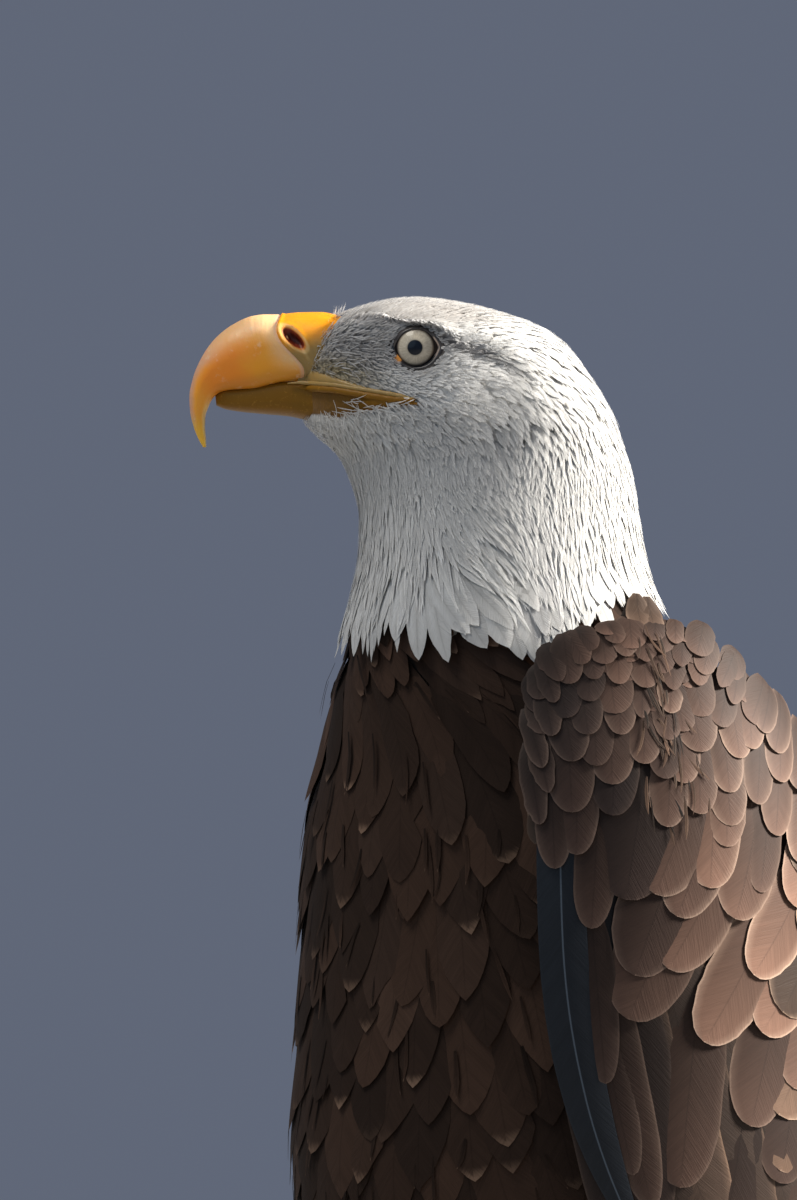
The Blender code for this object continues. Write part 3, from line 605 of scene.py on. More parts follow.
def lay_on_sheet(coat, sheet, z, phi, slant, length, half, tone, rim, pale, tip=0.6, full=0.32, start=0.35, rows=8, sink=6.0, lift=0.6, rise=0.8, camber=0.12, roll=0.04,
                 thick=0.5, ragged=0.05, curl=0.0, bend=None, mirror=False, broad=True, around=None, height=0.0, shading=(0.55, 1.25), splits=0.0, fade=1.4):
    """Vanes on a sheet that is a function of height and angle. slant is the run of the plumage off straight down, towards rising angles."""
    n = len(z)
    if n == 0:
        return
    z, phi = np.array(z, float), np.array(phi, float)
    put = lambda x: np.broadcast_to(np.asarray(x, float), (n,)).copy()
    slant, length, half, pale, tip, sink, lift, roll, curl, height = map(put, (slant, length, half, pale, tip, sink, lift, roll, curl, height))
    tone = np.broadcast_to(np.asarray(tone, float), (n, 3)) if np.ndim(tone) < 3 else tone
    rim = np.broadcast_to(np.asarray(rim, float), (n, 3))
    t = stations(rows)
    zs, ps = [z.copy()], [phi.copy()]
    for k in range(rows):
        way = slant + curl * t[k]
        dz, dp = slopes(sheet, zs[-1], ps[-1])
        go = length * (t[k + 1] - t[k])
        zs.append(zs[-1] - go * np.cos(way) / lengths(dz))
        ps.append(ps[-1] + go * np.sin(way) / lengths(dp))
    zs, ps = np.stack(zs, 1), np.stack(ps, 1)
    if bend is not None:
        ps = bend(zs, ps, t)
    width = half[:, None] * outline(t[None, :], tip[:, None], full, start)
    way = slant[:, None] + curl[:, None] * t
    dz, dp = slopes(sheet, zs, ps)
    mz, mp = lengths(dz), lengths(dp)
    s_top = np.array([-1, -0.55, 0, 0.55, 1]) if broad else np.array([-1.0, 0, 1])
    s_under = np.array([-1.0, 0, 1]) if broad else np.array([-1.0, 1])
    level = height[:, None] - sink[:, None] + (sink + lift)[:, None] * t[None, :] ** rise
    wobble = 1 + ragged * RNG.normal(size=(n, rows + 1, 2)) * (t > 0.25)[None, :, None]
    if splits:
        # a slot where the barbs have parted, on one side
        cut = (RNG.random((n, rows + 1, 2)) < splits) & (t > 0.35)[None, :, None] & (t < 0.98)[None, :, None]
        wobble = np.where(cut, wobble * uniform(n, 0.45, 0.8)[:, None, None], wobble)
    grids = []
    for s, under in ((s_top, False), (s_under, True)):
        side = np.where(s[None, None, :] < 0, wobble[:, :, :1], wobble[:, :, 1:]) * s[None, None, :]
        off = side * width[:, :, None]
        vz = zs[:, :, None] + off * np.sin(way)[:, :, None] / mz[:, :, None]
        vp = ps[:, :, None] + off * np.cos(way)[:, :, None] / mp[:, :, None]
        base = sheet(vz, vp)
        ez, ep = slopes(sheet, vz, vp)
        normal = np.cross(ep, ez)
        normal /= lengths(normal)[..., None]
        if not under:
            way_out = normal * [-1, 1, 1] if mirror else normal
        up = level[:, :, None] - camber * width[:, :, None] * s[None, None, :] ** 2 + roll[:, None, None] * off
        if under:
            up = up - thick * (1 - s[None, None, :] ** 2) * np.sin(np.pi * t)[None, :, None] ** 0.5
        grids.append(base + normal * up[..., None])
    if mirror:
        grids = [g * [-1, 1, 1] for g in grids]
    turn = phi if around is None else around
    if shading is not None and tone.ndim == 2:
        tone = tone[:, None, :] * (shading[0] + (shading[1] - shading[0]) * t**fade)[None, :, None]
    coat.add(grids[0], grids[1], s_top, s_under, t, width, length, tone, rim, pale, coat.places(-turn if mirror else turn, z), flip=mirror, way_out=way_out)


def jitter(n, size):
    return RNG.normal(size=n) * size


def uniform(n, low, high):
    return RNG.random(n) * (high - low) + low


# ------------------------------------------------------------------------ skin
def grid_mesh(name, rings, closed_ends=True, ring_closed=True):
    """A mesh through rings of equal length."""
    rings = np.asarray(rings, float)
    k, m = rings.shape[:2]
    points = (rings * MM + SHIFT).reshape(-1, 3)
    i = np.arange(k - 1)[:, None] * m
    j = np.arange(m if ring_closed else m - 1)[None, :]
    quads = np.stack([i + j, i + (j + 1) % m, i + m + (j + 1) % m, i + m + j], -1).reshape(-1, 4).tolist()
    if closed_ends:
        quads += [list(range(m))[::-1], list(range((k - 1) * m, k * m))]
    mesh = bpy.data.meshes.new(name)
    mesh.from_pydata(points.tolist(), [], quads)
    bm = bmesh.new()
    bm.from_mesh(mesh)
    bmesh.ops.remove_doubles(bm, verts=bm.verts, dist=2e-6)
    if closed_ends:
        bmesh.ops.recalc_face_normals(bm, faces=bm.faces)
    bm.to_mesh(mesh)
    bm.free()
    mesh.shade_smooth()
    obj = bpy.data.objects.new(name, mesh)
    bpy.context.scene.collection.objects.link(obj)
    return obj


def coat_depth(z, ahead):
    """How deep the skin lies under the tips of the coat."""
    face = step(-30, 2, ahead)
    head = 2.4 - 1.1 * face
    return head + step(700, 655, z) * 1.6 + step(640, 600, z) * 6.5


def inset(sheet, z, phi, depth):
    dz, dp = slopes(sheet, z, phi)
    normal = np.cross(dp, dz)
    normal /= lengths(normal)[..., None]
    return sheet(z, phi) - normal * depth[..., None]


around = np.linspace(0, 2 * np.pi, 144, endpoint=False)
# the points of a slice crowd together over the eyes and brows
around = around - 0.16 * np.sin(2 * around) * 1.0
levels = np.concatenate([[739.9, 739.6, 739.1, 738.4], np.arange(737.5, 693, -0.9), np.arange(692, 640, -2.5), np.arange(640, 260, -7.0), [254, 247, 240, 234, 230, 228]])
grid_z, grid_phi = np.meshgrid(levels, around, indexing="ij")
outer = body(grid_z, grid_phi)
ahead, up, side = from_head(outer)
depth = coat_depth(grid_z, ahead)
depth = np.where(grid_z > 736, np.minimum(depth, 2.2), depth)
rings = inset(body, grid_z, grid_phi, depth)
rings[:4, :, 2] = np.minimum(rings[:4, :, 2], 738.2 - np.array([0.0, 0.15, 0.4, 0.8])[:, None])
skin = grid_mesh("skin", rings)


def inner_part(name, rings):
    made = grid_mesh(name, rings)
    return made


parts = []
for flip in (1, -1):
    tucked = flip < 0
    sheet = wing_surface(tucked)
    zs = np.concatenate([[632, 628, 620], np.arange(608, 120, -14.0)])
    rings = []
    for z in zs:
        lead, rear, thick = wing_edges(z, tucked)
        span = np.linspace(0.09, 0.91, 15)
        inner = np.linspace(0.88, 0.12, 12)
        phi = lead + (rear - lead) * span
        out = inset(sheet, np.full(15, z), phi, np.full(15, 7.0) if z > 400 else np.full(15, 4.0))
        phi = lead + (rear - lead) * inner
        deep = np.maximum(thick * np.sqrt(4 * inner * (1 - inner)) + 2, 9.0 if z > 400 else 5.5)
        rings.append(np.concatenate([out, inset(sheet, np.full(12, z), phi, deep)]))
    parts.append(inner_part("wing_flesh", np.array(rings) * [flip, 1, 1]))
    zs = np.concatenate([[388, 380], np.arange(368, 86, -12.0), [82]])
    th = np.linspace(0, 2 * np.pi, 40, endpoint=False)
    gz, gp = np.meshgrid(zs, th, indexing="ij")
    parts.append(inner_part("thigh_flesh", inset(thigh, gz, gp, np.where(gz > 130, 6.0, 2.5 + (gz - 80) * 0.06)) * [flip, 1, 1]))

slope = math.radians(TAIL_SLOPE)


def tail_point(s, across, rise):
    f = TAIL_ROOT[0] - s * math.sin(slope) - rise * math.cos(slope)
    z = TAIL_ROOT[1] - s * math.cos(slope) + rise * math.sin(slope)
    return np.stack(np.broadcast_arrays(across, -f, z), -1)


def tail_rows(s):
    at = np.interp(s, [r[0] for r in TAIL], range(len(TAIL)))
    return np.moveaxis(through(TAIL, at), -1, 0)


rings = []
for s in np.arange(-20, 62, 8.0):
    _, w, thick, hollow = tail_rows(max(s, 0))
    th = np.linspace(0, 2 * np.pi, 24, endpoint=False)
    shrink = 0.80 * (1 - max(0, s - 20) / 80)
    across = w * shrink * np.cos(th)
    rings.append(tail_point(s, across, 0.5 * thick * shrink * np.sin(th) - hollow * (across / w) ** 2))
parts.append(inner_part("tail_flesh", rings))

for part in parts:
    mod = skin.modifiers.new(part.name, "BOOLEAN")
    mod.operation, mod.solver, mod.object = "UNION", "EXACT", part
graph = bpy.context.evaluated_depsgraph_get()
merged = bpy.data.meshes.new_from_object(skin.evaluated_get(graph), depsgraph=graph)
skin.modifiers.clear()
skin.data = merged
skin.data.name = "skin"
for part in parts:
    bpy.data.objects.remove(part)
skin.data.shade_smooth()


def paint(mesh, name, values, kind="FLOAT_VECTOR"):
    layer = mesh.attributes.new(name, kind, "POINT")
    values = np.asarray(values, np.float32)
    if kind == "FLOAT_COLOR" and values.shape[1] == 3:
        values = np.concatenate([values, np.ones((len(values), 1), np.float32)], 1)
    layer.data.foreach_set("color" if kind == "FLOAT_COLOR" else "vector", np.ascontiguousarray(values).ravel())


def points_of(mesh):
    co = np.empty(len(mesh.vertices) * 3, np.float32)
    mesh.vertices.foreach_get("co", co)
    return (co.reshape(-1, 3).astype(float) - SHIFT) / MM


def own_uv(obj, u, v):
    """OFBake from per-vertex places, for a closed piece."""
    loops = np.empty(len(obj.data.loops), np.int32)
    obj.data.loops.foreach_get("vertex_index", loops)
    uv = np.stack([u, v], -1)[loops]
    layer = obj.data.uv_layers.get("OFBake") or obj.data.uv_layers.new(name="OFBake")
    layer.data.foreach_set("uv", uv.astype(np.float32).ravel())


def tubed(name, line, radii, sides=12, flat=1.0, up=(0, 0, 1), caps=True):
    """A round tube through points, its section flattened along up."""
    line, radii = np.asarray(line, float), np.asarray(radii, float)
    way = np.gradient(line, axis=0)
    way /= lengths(way)[:, None]
    up = np.broadcast_to(np.asarray(up, float), line.shape)
    across = np.cross(way, up)
    across /= lengths(across)[:, None]
    rise = np.cross(across, way)
    th = np.linspace(0, 2 * np.pi, sides, endpoint=False)
    rings = line[:, None] + radii[:, None, None] * (np.cos(th)[None, :, None] * across[:, None] + flat * np.sin(th)[None, :, None] * rise[:, None])
    return grid_mesh(name, rings, closed_ends=caps)


def joined(name, pieces):
    """One mesh from several objects, their attributes kept."""
    bpy.ops.object.select_all(action="DESELECT")
    for piece in pieces:
        piece.select_set(True)
    bpy.context.view_layer.objects.active = pieces[0]
    bpy.ops.object.join()
    pieces[0].name = pieces[0].data.name = name
    return pieces[0]


# ------------------------------------------------------------------------ bill
def bill_side(table, top_square, bottom_square, count, sides, bow=lambda s: 0.0, span=(0.0, 1.0)):
    rings, marks = [], []
    for s, (ta, tu, ba, bu, w) in zip(np.linspace(*span, count), through(table, np.linspace(span[0], span[1], count) * (len(table) - 1))):
        th = 2 * np.pi * (np.arange(sides) + 0.5) / sides
        c, e = np.cos(th), np.sin(th)
        n = np.where(e > 0, top_square, bottom_square)
        across = w * np.sign(c) * np.abs(c) ** (2 / n)
        q = 0.5 + 0.5 * np.sign(e) * np.abs(e) ** (2 / n)
        bend = -bow(s) * np.sin(2 * np.pi * q**0.85)
        rings.append(on_head(ba + (ta - ba) * q + bend, bu + (tu - bu) * q, across))
        marks.append(np.stack([np.full(sides, s), q, across], -1))
    return np.array(rings), np.array(marks)


def place_marks(obj, rings, marks):
    """Carries (s, q, across) of the slices to the mesh's points."""
    tree = KDTree(rings.shape[0] * rings.shape[1])
    flat = rings.reshape(-1, 3)
    for i, p in enumerate(flat):
        tree.insert(p, i)
    tree.balance()
    found = marks.reshape(-1, 3)[[tree.find(p)[1] for p in points_of(obj.data)]]
    paint(obj.data, "Place", found)
    u = 0.5 + 0.48 * (0.5 - found[:, 1]) * np.where(found[:, 2] < 0, -1, 1) * 2
    own_uv(obj, 0.02 + 0.96 * found[:, 0], np.clip(0.5 + 0.47 * (1 - found[:, 1]) * np.sign(found[:, 2] + 1e-9), 0.02, 0.98))
    return obj


rings, marks = bill_side(BILL_UPPER, 2.0, 4.5, 74, 56, bow=lambda s: CERE_BEND * max(0, 1 - 4 * s))
# its root is tucked inside the cere
root = rings[0].mean(0) + (rings[0] - rings[0].mean(0)) * 0.955 - np.array([HFX, HFY, 0]) * 2.4
rings, marks = np.concatenate([root[None], rings]), np.concatenate([marks[:1], marks])
upper = place_marks(grid_mesh("upper_bill", rings), rings, marks)
buried = [(ta, tu - drop, ba, bu, w) for (ta, tu, ba, bu, w), drop in zip(CERE, (5.0, 2.2, 0.5, 0, 0))]
crings, cmarks = bill_side(buried, 2.0, 4.5, 54, 56, bow=lambda s: CERE_BEND * s)
# the cere ends in a rounded lip over the horn, and swells round the nostril
s = cmarks[..., 0]
centre = crings.mean(1, keepdims=True)
a, u, l = from_head(crings)
lip = np.exp(-(((s - 0.965) / 0.022) ** 2)) * 0.38 - 0.75 * step(0.975, 1.0, s)
out = crings - centre
out /= lengths(out)[..., None]
tilt = math.radians(42)
along, across = (a - 41.0) * math.cos(tilt) + (u - 2.9) * math.sin(tilt), (a - 41.0) * -math.sin(tilt) + (u - 2.9) * math.cos(tilt)
ring_at = np.sqrt((along / 4.9) ** 2 + (across / 2.05) ** 2)
hole = -3.4 * (1 - step(0.55, 1.05, ring_at)) + 0.35 * np.exp(-(((ring_at - 1.32) / 0.26) ** 2))
hole = hole * (np.abs(l) > 6)
crings = crings + out * (lip + hole)[..., None]
cmarks[..., 2] = np.where(np.abs(cmarks[..., 2]) > 6, cmarks[..., 2], cmarks[..., 2])
cere = grid_mesh("cere_skin_piece", crings)
place_marks(cere, crings, cmarks)
ca, cu, cl = from_head(points_of(cere.data))
along, across = (ca - 41.0) * math.cos(tilt) + (cu - 2.9) * math.sin(tilt), (ca - 41.0) * -math.sin(tilt) + (cu - 2.9) * math.cos(tilt)
pit = np.where(np.abs(cl) > 6, np.sqrt((along / 4.9) ** 2 + (across / 2.05) ** 2), 9.0)
paint(cere.data, "Pit", np.stack([pit, ca, cu], -1))

# the mandible shuts inside the cutting edge of the upper bill
shut = [(ta, tu + 1.9, ba, bu, w) for ta, tu, ba, bu, w in BILL_LOWER]
rings, marks = bill_side(shut, 5.0, 2.2, 48, 44)
lower = place_marks(grid_mesh("lower_bill", rings), rings, marks)
ja, ju, jl = from_head(points_of(lower.data))
paint(lower.data, "Pit", np.stack([np.full(len(ja), 9.0), ja, ju], -1))


def edge_line(points):
    rows = np.array(points, float)
    order = np.argsort(rows[:, 0])
    return lambda u: np.interp(u, rows[order, 0], rows[order, 1])


MOUTH = edge_line([(46, -13.0), (39, -12.5), (27, -13.2), (14, -15.2), (0, -17.5), (-6, -18.4)])
WEDGE_TOP = edge_line([(42, -5.0), (38.0, -7.3), (33, -8.3), (28.9, -9.4), (20, -12.2), (13.6, -14.2), (5, -16.2), (0, -17.4), (-6, -18.4)])
JAW_LOW = edge_line([(46, -22.4), (42, -22.3), (36, -22.6), (30, -23.4), (25, -23.6), (20, -22.8), (15, -21.2), (10, -20.0), (6, -19.5), (0, -19.2), (-6, -18.9)])


SIDEWAYS = on_head(0, 0, 1.0) - on_head(0, 0, 0.0)


def flank_of(obj):
    """A rule for how far out to the side a piece reaches at a place on the head's side."""
    tree = BVHTree.FromPolygons(points_of(obj.data).tolist(), [list(p.vertices) for p in obj.data.polygons])

    def reach_out(u, v, side, other):
        found = np.array(other, float)
        for index in np.ndindex(found.shape):
            start = on_head(float(u[index]), float(v[index]), side * 40.0)
            hit = tree.ray_cast(start.tolist(), (SIDEWAYS * -side).tolist())
            if hit[0] is not None:
                found[index] = 40.0 - hit[3]
        return found

    return reach_out


def skin_patch(name, side, top, low, off, muzzle_at, reach=(39.5, -0.6), count=(60, 12), under=None):
    """A bare strip of face between two lines, tucked in at its borders."""
    u = np.linspace(reach[0], reach[1], count[0])[:, None]
    r = np.linspace(0, 1, count[1])[None, :]
    v = top(u) + (low(u) - top(u)) * r
    swell = np.sin(np.pi * r) ** 0.6
    face = side_of(u + 0 * r, v)
    muzzle = np.interp(u, muzzle_at[0], muzzle_at[1]) - 0.5 - 2.4 * step(-19.5, -24.0, v)
    # the face runs out smoothly onto the bill's root
    width = 0.5 * (face + muzzle + np.sqrt((face - muzzle) ** 2 + 2.0))
    width = width + off * swell * step(39, 33, u) - 0.9 * (1 - swell) * step(38, 30, u)
    if under is None:
        width = width - 1.8 * step(32.0, 38.5, u)
    else:
        # it laps over the end of the bill's side
        found = under(np.maximum(u, JAW_END + 0.8) + 0 * r, v, side, width)
        share = step(JAW_END - 0.5, reach[0] - 0.6, u)
        width = np.maximum(width, found + 0.15) * (1 - share) + (found + 0.12) * share - 0.8 * step(reach[0] - 0.8, reach[0], u)
    rings = on_head(u + 0 * r, v, side * width)
    obj = grid_mesh(name, rings, closed_ends=False, ring_closed=False)
    p = points_of(obj.data)
    a, b, _ = from_head(p)
    paint(obj.data, "Place", np.stack([a, b, np.full(len(a), side)], -1))
    paint(obj.data, "Pit", np.stack([np.full(len(a), 9.0), a, b], -1))
    own_uv(obj, 0.5 + side * (0.02 + 0.4 * (a + 6) / 52), np.clip((b + 26) / 22, 0.02, 0.98))
    return obj


def lip_line(name, side, line, drop, radius, out, muzzle_at, reach=(43.0, 0.2), count=60):
    """A fleshy rim along the mouth, drawn out thin at the corner."""
    u = np.linspace(reach[0], reach[1], count)
    v = line(u) + drop * np.interp(u, [0, 7], [0.15, 1])
    face = side_of(u, v)
    muzzle = np.interp(u, muzzle_at[0], muzzle_at[1])
    width = 0.5 * (face + muzzle + np.sqrt((face - muzzle) ** 2 + 2.0)) - 0.35 + out - 0.9 * step(36, 43, u)
    r = radius * np.clip((reach[0] - u) / 9.0, 0.12, 1) ** 0.6 * np.interp(u, [0, 5], [0.5, 1]) * (1 + 0.06 * np.sin(u * 1.7))
    obj = tubed(name, on_head(u, v, side * width), r, sides=10)
    p = points_of(obj.data)
    a, b, _ = from_head(p)
    paint(obj.data, "Place", np.stack([a, b, np.full(len(a), side)], -1))
    paint(obj.data, "Pit", np.stack([np.full(len(a), 9.0), a, b], -1))
    own_uv(obj, 0.5 + side * (0.02 + 0.4 * (a + 6) / 52), np.clip((b + 26) / 22, 0.02, 0.98))
    return obj


CERE_HALF = ([14, 24, 32, 39, 46], [15.3, 14.9, 14.2, 13.5, 12.9])
JAW_HALF = ([14, 24, 33, 43, 51], [14.8, 13.7, 12.5, 11.2, 10.0])
pieces, jaw = [cere], [lower]
jaw_out = flank_of(lower)
JAW_END = float(ja.min())
print("jaw end", JAW_END)
for side in (1, -1):
    pieces.append(skin_patch("wedge", side, WEDGE_TOP, lambda u: MOUTH(u) + 0.1, 0.45, CERE_HALF))
    pieces.append(lip_line("upper_lip", side, MOUTH, 0.50, 0.85, 0.15, CERE_HALF))
    jaw.append(skin_patch("jaw_skin", side, lambda u: MOUTH(u) - 0.6, JAW_LOW, 0.35, JAW_HALF, reach=(42.0, -0.6), under=jaw_out))
    jaw.append(lip_line("lower_lip", side, MOUTH, -1.15, 1.15, 0.25, JAW_HALF))
cere = joined("cere", pieces)
lower = joined("lower_bill", jaw)


def mixed(tree, factor, a, b):
    return blend_colour(tree, "MIX", factor, a, b)


def horn_material():
    """Bill horn: warm orange base, peach wear on the front, a paler top painted as highlight, yellow tip, growth lines
    and fine scratches.
    """
    made, tree, bsdf = nodes_of("bill_horn_look")
    place = node(tree, "ShaderNodeAttribute", attribute_name="Place").outputs["Vector"]
    xyz = tree.nodes.new("ShaderNodeSeparateXYZ")
    tree.links.new(place, xyz.inputs[0])
    s, q, across = xyz.outputs
    where = tree.nodes.new("ShaderNodeTexCoord").outputs["Object"]
    cloud = noise(tree, where, 70, 4, 0.55)
    fine = noise(tree, where, 420, 3, 0.6)
    colour = mixed(tree, ramp(tree, maths(tree, "ADD", q, maths(tree, "MULTIPLY", cloud, 0.5)), 0.25, 0.95), (0.90, 0.345, 0.014), (0.92, 0.385, 0.038))
    # worn, chalky front of the hook
    worn = maths(tree, "MULTIPLY", ramp(tree, maths(tree, "ADD", q, maths(tree, "MULTIPLY_ADD", cloud, 0.7, -0.35)), 0.58, 0.92), ramp(tree, s, 0.20, 0.48))
    worn = maths(tree, "MULTIPLY", worn, ramp(tree, s, 0.93, 0.74))
    colour = mixed(tree, maths(tree, "MULTIPLY", worn, 0.80), colour, (0.63, 0.345, 0.23))
    # painted highlight: the upper bill is a paler peach along its top, towards the root
    crown = maths(tree, "MULTIPLY", ramp(tree, maths(tree, "ADD", q, maths(tree, "MULTIPLY_ADD", cloud, 0.5, -0.25)), 0.60, 0.90), ramp(tree, s, 0.56, 0.16))
    colour = mixed(tree, maths(tree, "MULTIPLY", crown, 0.78), colour, (0.95, 0.60, 0.32))
    # deeper orange across the middle
    deep = maths(tree, "MULTIPLY", ramp(tree, maths(tree, "ADD", s, maths(tree, "MULTIPLY_ADD", cloud, 0.4, -0.2)), 0.14, 0.34), ramp(tree, s, 0.66, 0.46))
    deep = maths(tree, "MULTIPLY", deep, ramp(tree, q, 0.95, 0.55))
    colour = mixed(tree, maths(tree, "MULTIPLY", deep, 0.75), colour, (0.90, 0.235, 0.013))
    tip = ramp(tree, maths(tree, "ADD", s, maths(tree, "MULTIPLY_ADD", cloud, 0.12, -0.06)), 0.70, 0.90)
    colour = mixed(tree, maths(tree, "MULTIPLY", tip, 0.9), colour, (0.93, 0.52, 0.038))
    cut = ramp(tree, q, 0.30, 0.05)
    low_edge = maths(tree, "MULTIPLY", cut, ramp(tree, s, 0.62, 0.42))
    colour = mixed(tree, maths(tree, "MULTIPLY", low_edge, 0.6), colour, (0.50, 0.20, 0.018))
    hook = maths(tree, "MULTIPLY", cut, ramp(tree, s, 0.50, 0.70))
    colour = mixed(tree, maths(tree, "MULTIPLY", hook, 0.75), colour, (0.90, 0.66, 0.26))
    root = maths(tree, "MULTIPLY", ramp(tree, maths(tree, "ADD", s, maths(tree, "MULTIPLY_ADD", cloud, 0.16, -0.08)), 0.17, 0.03), ramp(tree, q, 0.12, 0.35))
    colour = mixed(tree, maths(tree, "MULTIPLY", root, 0.62), colour, (0.88, 0.58, 0.30))
    colour = mixed(tree, maths(tree, "MULTIPLY", ramp(tree, s, 0.022, 0.0), 0.6), colour, (0.80, 0.50, 0.34))
    chalk = maths(tree, "MULTIPLY", ramp(tree, fine, 0.55, 0.72), ramp(tree, cloud, 0.45, 0.62))
    colour = mixed(tree, maths(tree, "MULTIPLY", chalk, 0.42), colour, (0.88, 0.68, 0.48))
    tree.links.new(colour, bsdf.inputs["Base Color"])
    bsdf.inputs["Roughness"].default_value = 0.38
    tree.links.new(ramp(tree, maths(tree, "ADD", cloud, maths(tree, "MULTIPLY", fine, 0.3)), 0.4, 0.8, 0.30, 0.52), bsdf.inputs["Roughness"])
    bsdf.inputs["Specular IOR Level"].default_value = 0.38
    bsdf.inputs["Subsurface Weight"].default_value = 0.12
    bsdf.inputs["Subsurface Radius"].default_value = (0.004, 0.0016, 0.0006)
    bsdf.inputs["Subsurface Scale"].default_value = 1.0
    # growth lines run round the bill
    lines = tree.nodes.new("ShaderNodeCombineXYZ")
    tree.links.new(maths(tree, "MULTIPLY", s, 46.0), lines.inputs[0])
    tree.links.new(maths(tree, "MULTIPLY", q, 3.0), lines.inputs[1])
    grain = noise(tree, lines.outputs[0], 1.0, 3, 0.6)
    bump(tree, bsdf, maths(tree, "ADD", maths(tree, "MULTIPLY", grain, 0.6), maths(tree, "MULTIPLY", fine, 0.5)), 0.45, 0.0004)
    return made


def cere_material(name, base, second, low):
    """Waxy bare skin, finely pitted, reddish in the nostril and olive along the gape; the nostril's depth is painted
    near-black as shade, and the olive is partly painted shade.
    """
    made, tree, bsdf = nodes_of(name)
    pit = node(tree, "ShaderNodeAttribute", attribute_name="Pit").outputs["Vector"]
    xyz = tree.nodes.new("ShaderNodeSeparateXYZ")
    tree.links.new(pit, xyz.inputs[0])
    hole, a, b = xyz.outputs
    where = tree.nodes.new("ShaderNodeTexCoord").outputs["Object"]
    cloud = noise(tree, where, 90, 4, 0.55)
    fine = noise(tree, where, 900, 2, 0.6)
    colour = mixed(tree, ramp(tree, cloud, 0.35, 0.7), base, second)
    # the olive low along the gape is partly painted shade under the cere and bill
    olive = ramp(tree, maths(tree, "ADD", maths(tree, "MULTIPLY_ADD", a, 0.30, -11.6), maths(tree, "MULTIPLY_ADD", cloud, 3.0, b)), 6.5, -1.5)
    colour = mixed(tree, olive, colour, low)
    colour = mixed(tree, maths(tree, "MULTIPLY", ramp(tree, hole, 1.55, 1.30), 0.40), colour, (0.90, 0.62, 0.28))
    colour = mixed(tree, ramp(tree, hole, 1.20, 1.02), colour, (0.62, 0.22, 0.05))
    colour = mixed(tree, ramp(tree, hole, 1.02, 0.88), colour, (0.22, 0.030, 0.012))
    # painted shade: deep in the nostril the colour goes near-black
    colour = mixed(tree, ramp(tree, hole, 0.78, 0.40), colour, (0.075, 0.010, 0.006))
    colour = mixed(tree, maths(tree, "MULTIPLY", ramp(tree, fine, 0.58, 0.72), 0.25), colour, (0.55, 0.30, 0.05))
    tree.links.new(colour, bsdf.inputs["Base Color"])
    bsdf.inputs["Roughness"].default_value = 0.42
    bsdf.inputs["Specular IOR Level"].default_value = 0.28
    bsdf.inputs["Subsurface Weight"].default_value = 0.10
    bsdf.inputs["Subsurface Radius"].default_value = (0.003, 0.0014, 0.0005)
    bsdf.inputs["Subsurface Scale"].default_value = 1.0
    bump(tree, bsdf, maths(tree, "ADD", maths(tree, "MULTIPLY", cloud, 0.8), maths(tree, "MULTIPLY", fine, 0.35)), 0.5, 0.0004)
    return made


HORN = horn_material()
CERE_SKIN = cere_material("cere_skin_look", (0.84, 0.30, 0.004), (0.80, 0.32, 0.010), (0.34, 0.215, 0.070))
# the lower bill and jaw skin are a duller, darker yellow than the upper bill, much of it painted shade under the bill
JAW_HORN_SHADED = cere_material("jaw_horn_shaded_look", (0.35, 0.140, 0.006), (0.27, 0.105, 0.006), (0.22, 0.100, 0.009))
JAW_HORN_SHADED.node_tree.nodes["Principled BSDF"].inputs["Specular IOR Level"].default_value = 0.14
for obj, finish, slot, nodes in ((upper, HORN, "bill_horn", ["bill_upper"]), (cere, CERE_SKIN, "cere_skin", ["cere"]), (lower, JAW_HORN_SHADED, "lower_bill_horn", ["bill_lower"])):
    obj.data.materials.clear()
    obj.data.materials.append(finish)
    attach(obj, "root")
    for name in nodes:
        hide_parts(name)


# ------------------------------------------------------------------------ eyes
def eye_material():
    """A pale iris with fine rays under a wet cornea: black pupil, dark ring at the rim."""
    made, tree, bsdf = nodes_of("eye_look")
    place = node(tree, "ShaderNodeAttribute", attribute_name="Place").outputs["Vector"]
    xyz = tree.nodes.new("ShaderNodeSeparateXYZ")
    tree.links.new(place, xyz.inputs[0])
    r, x, y = xyz.outputs
    angle = maths(tree, "ARCTAN2", y, x)
    rays_at = tree.nodes.new("ShaderNodeCombineXYZ")
    tree.links.new(maths(tree, "MULTIPLY", maths(tree, "COSINE", angle), 9.0), rays_at.inputs[0])
    tree.links.new(maths(tree, "MULTIPLY", maths(tree, "SINE", angle), 9.0), rays_at.inputs[1])
    tree.links.new(maths(tree, "MULTIPLY", r, 0.35), rays_at.inputs[2])
    rays = noise(tree, rays_at.outputs[0], 2.2, 3, 0.7)
    flecks = noise(tree, place, 1.1, 3, 0.6)
    colour = mixed(tree, ramp(tree, rays, 0.3, 0.7), (0.46, 0.39, 0.29), (0.64, 0.57, 0.45))
    colour = mixed(tree, maths(tree, "MULTIPLY", ramp(tree, flecks, 0.5, 0.7), 0.3), colour, (0.40, 0.33, 0.25))
    colour = mixed(tree, ramp(tree, r, 3.3, 2.5), colour, (0.36, 0.31, 0.24))
    colour = mixed(tree, ramp(tree, r, 2.70, 2.42), colour, (0.004, 0.007, 0.014))
    colour = mixed(tree, ramp(tree, r, 5.3, 6.0), colour, (0.20, 0.16, 0.12))
    colour = mixed(tree, ramp(tree, r, 5.9, 6.25), colour, (0.016, 0.012, 0.012))
    tree.links.new(colour, bsdf.inputs["Base Color"])
    bsdf.inputs["Roughness"].default_value = 0.35
    bsdf.inputs["Specular IOR Level"].default_value = 0.15
    bsdf.inputs["Coat Weight"].default_value = 0.55
    bsdf.inputs["Coat Roughness"].default_value = 0.02
    bsdf.inputs["Coat IOR"].default_value = 1.34
    return made


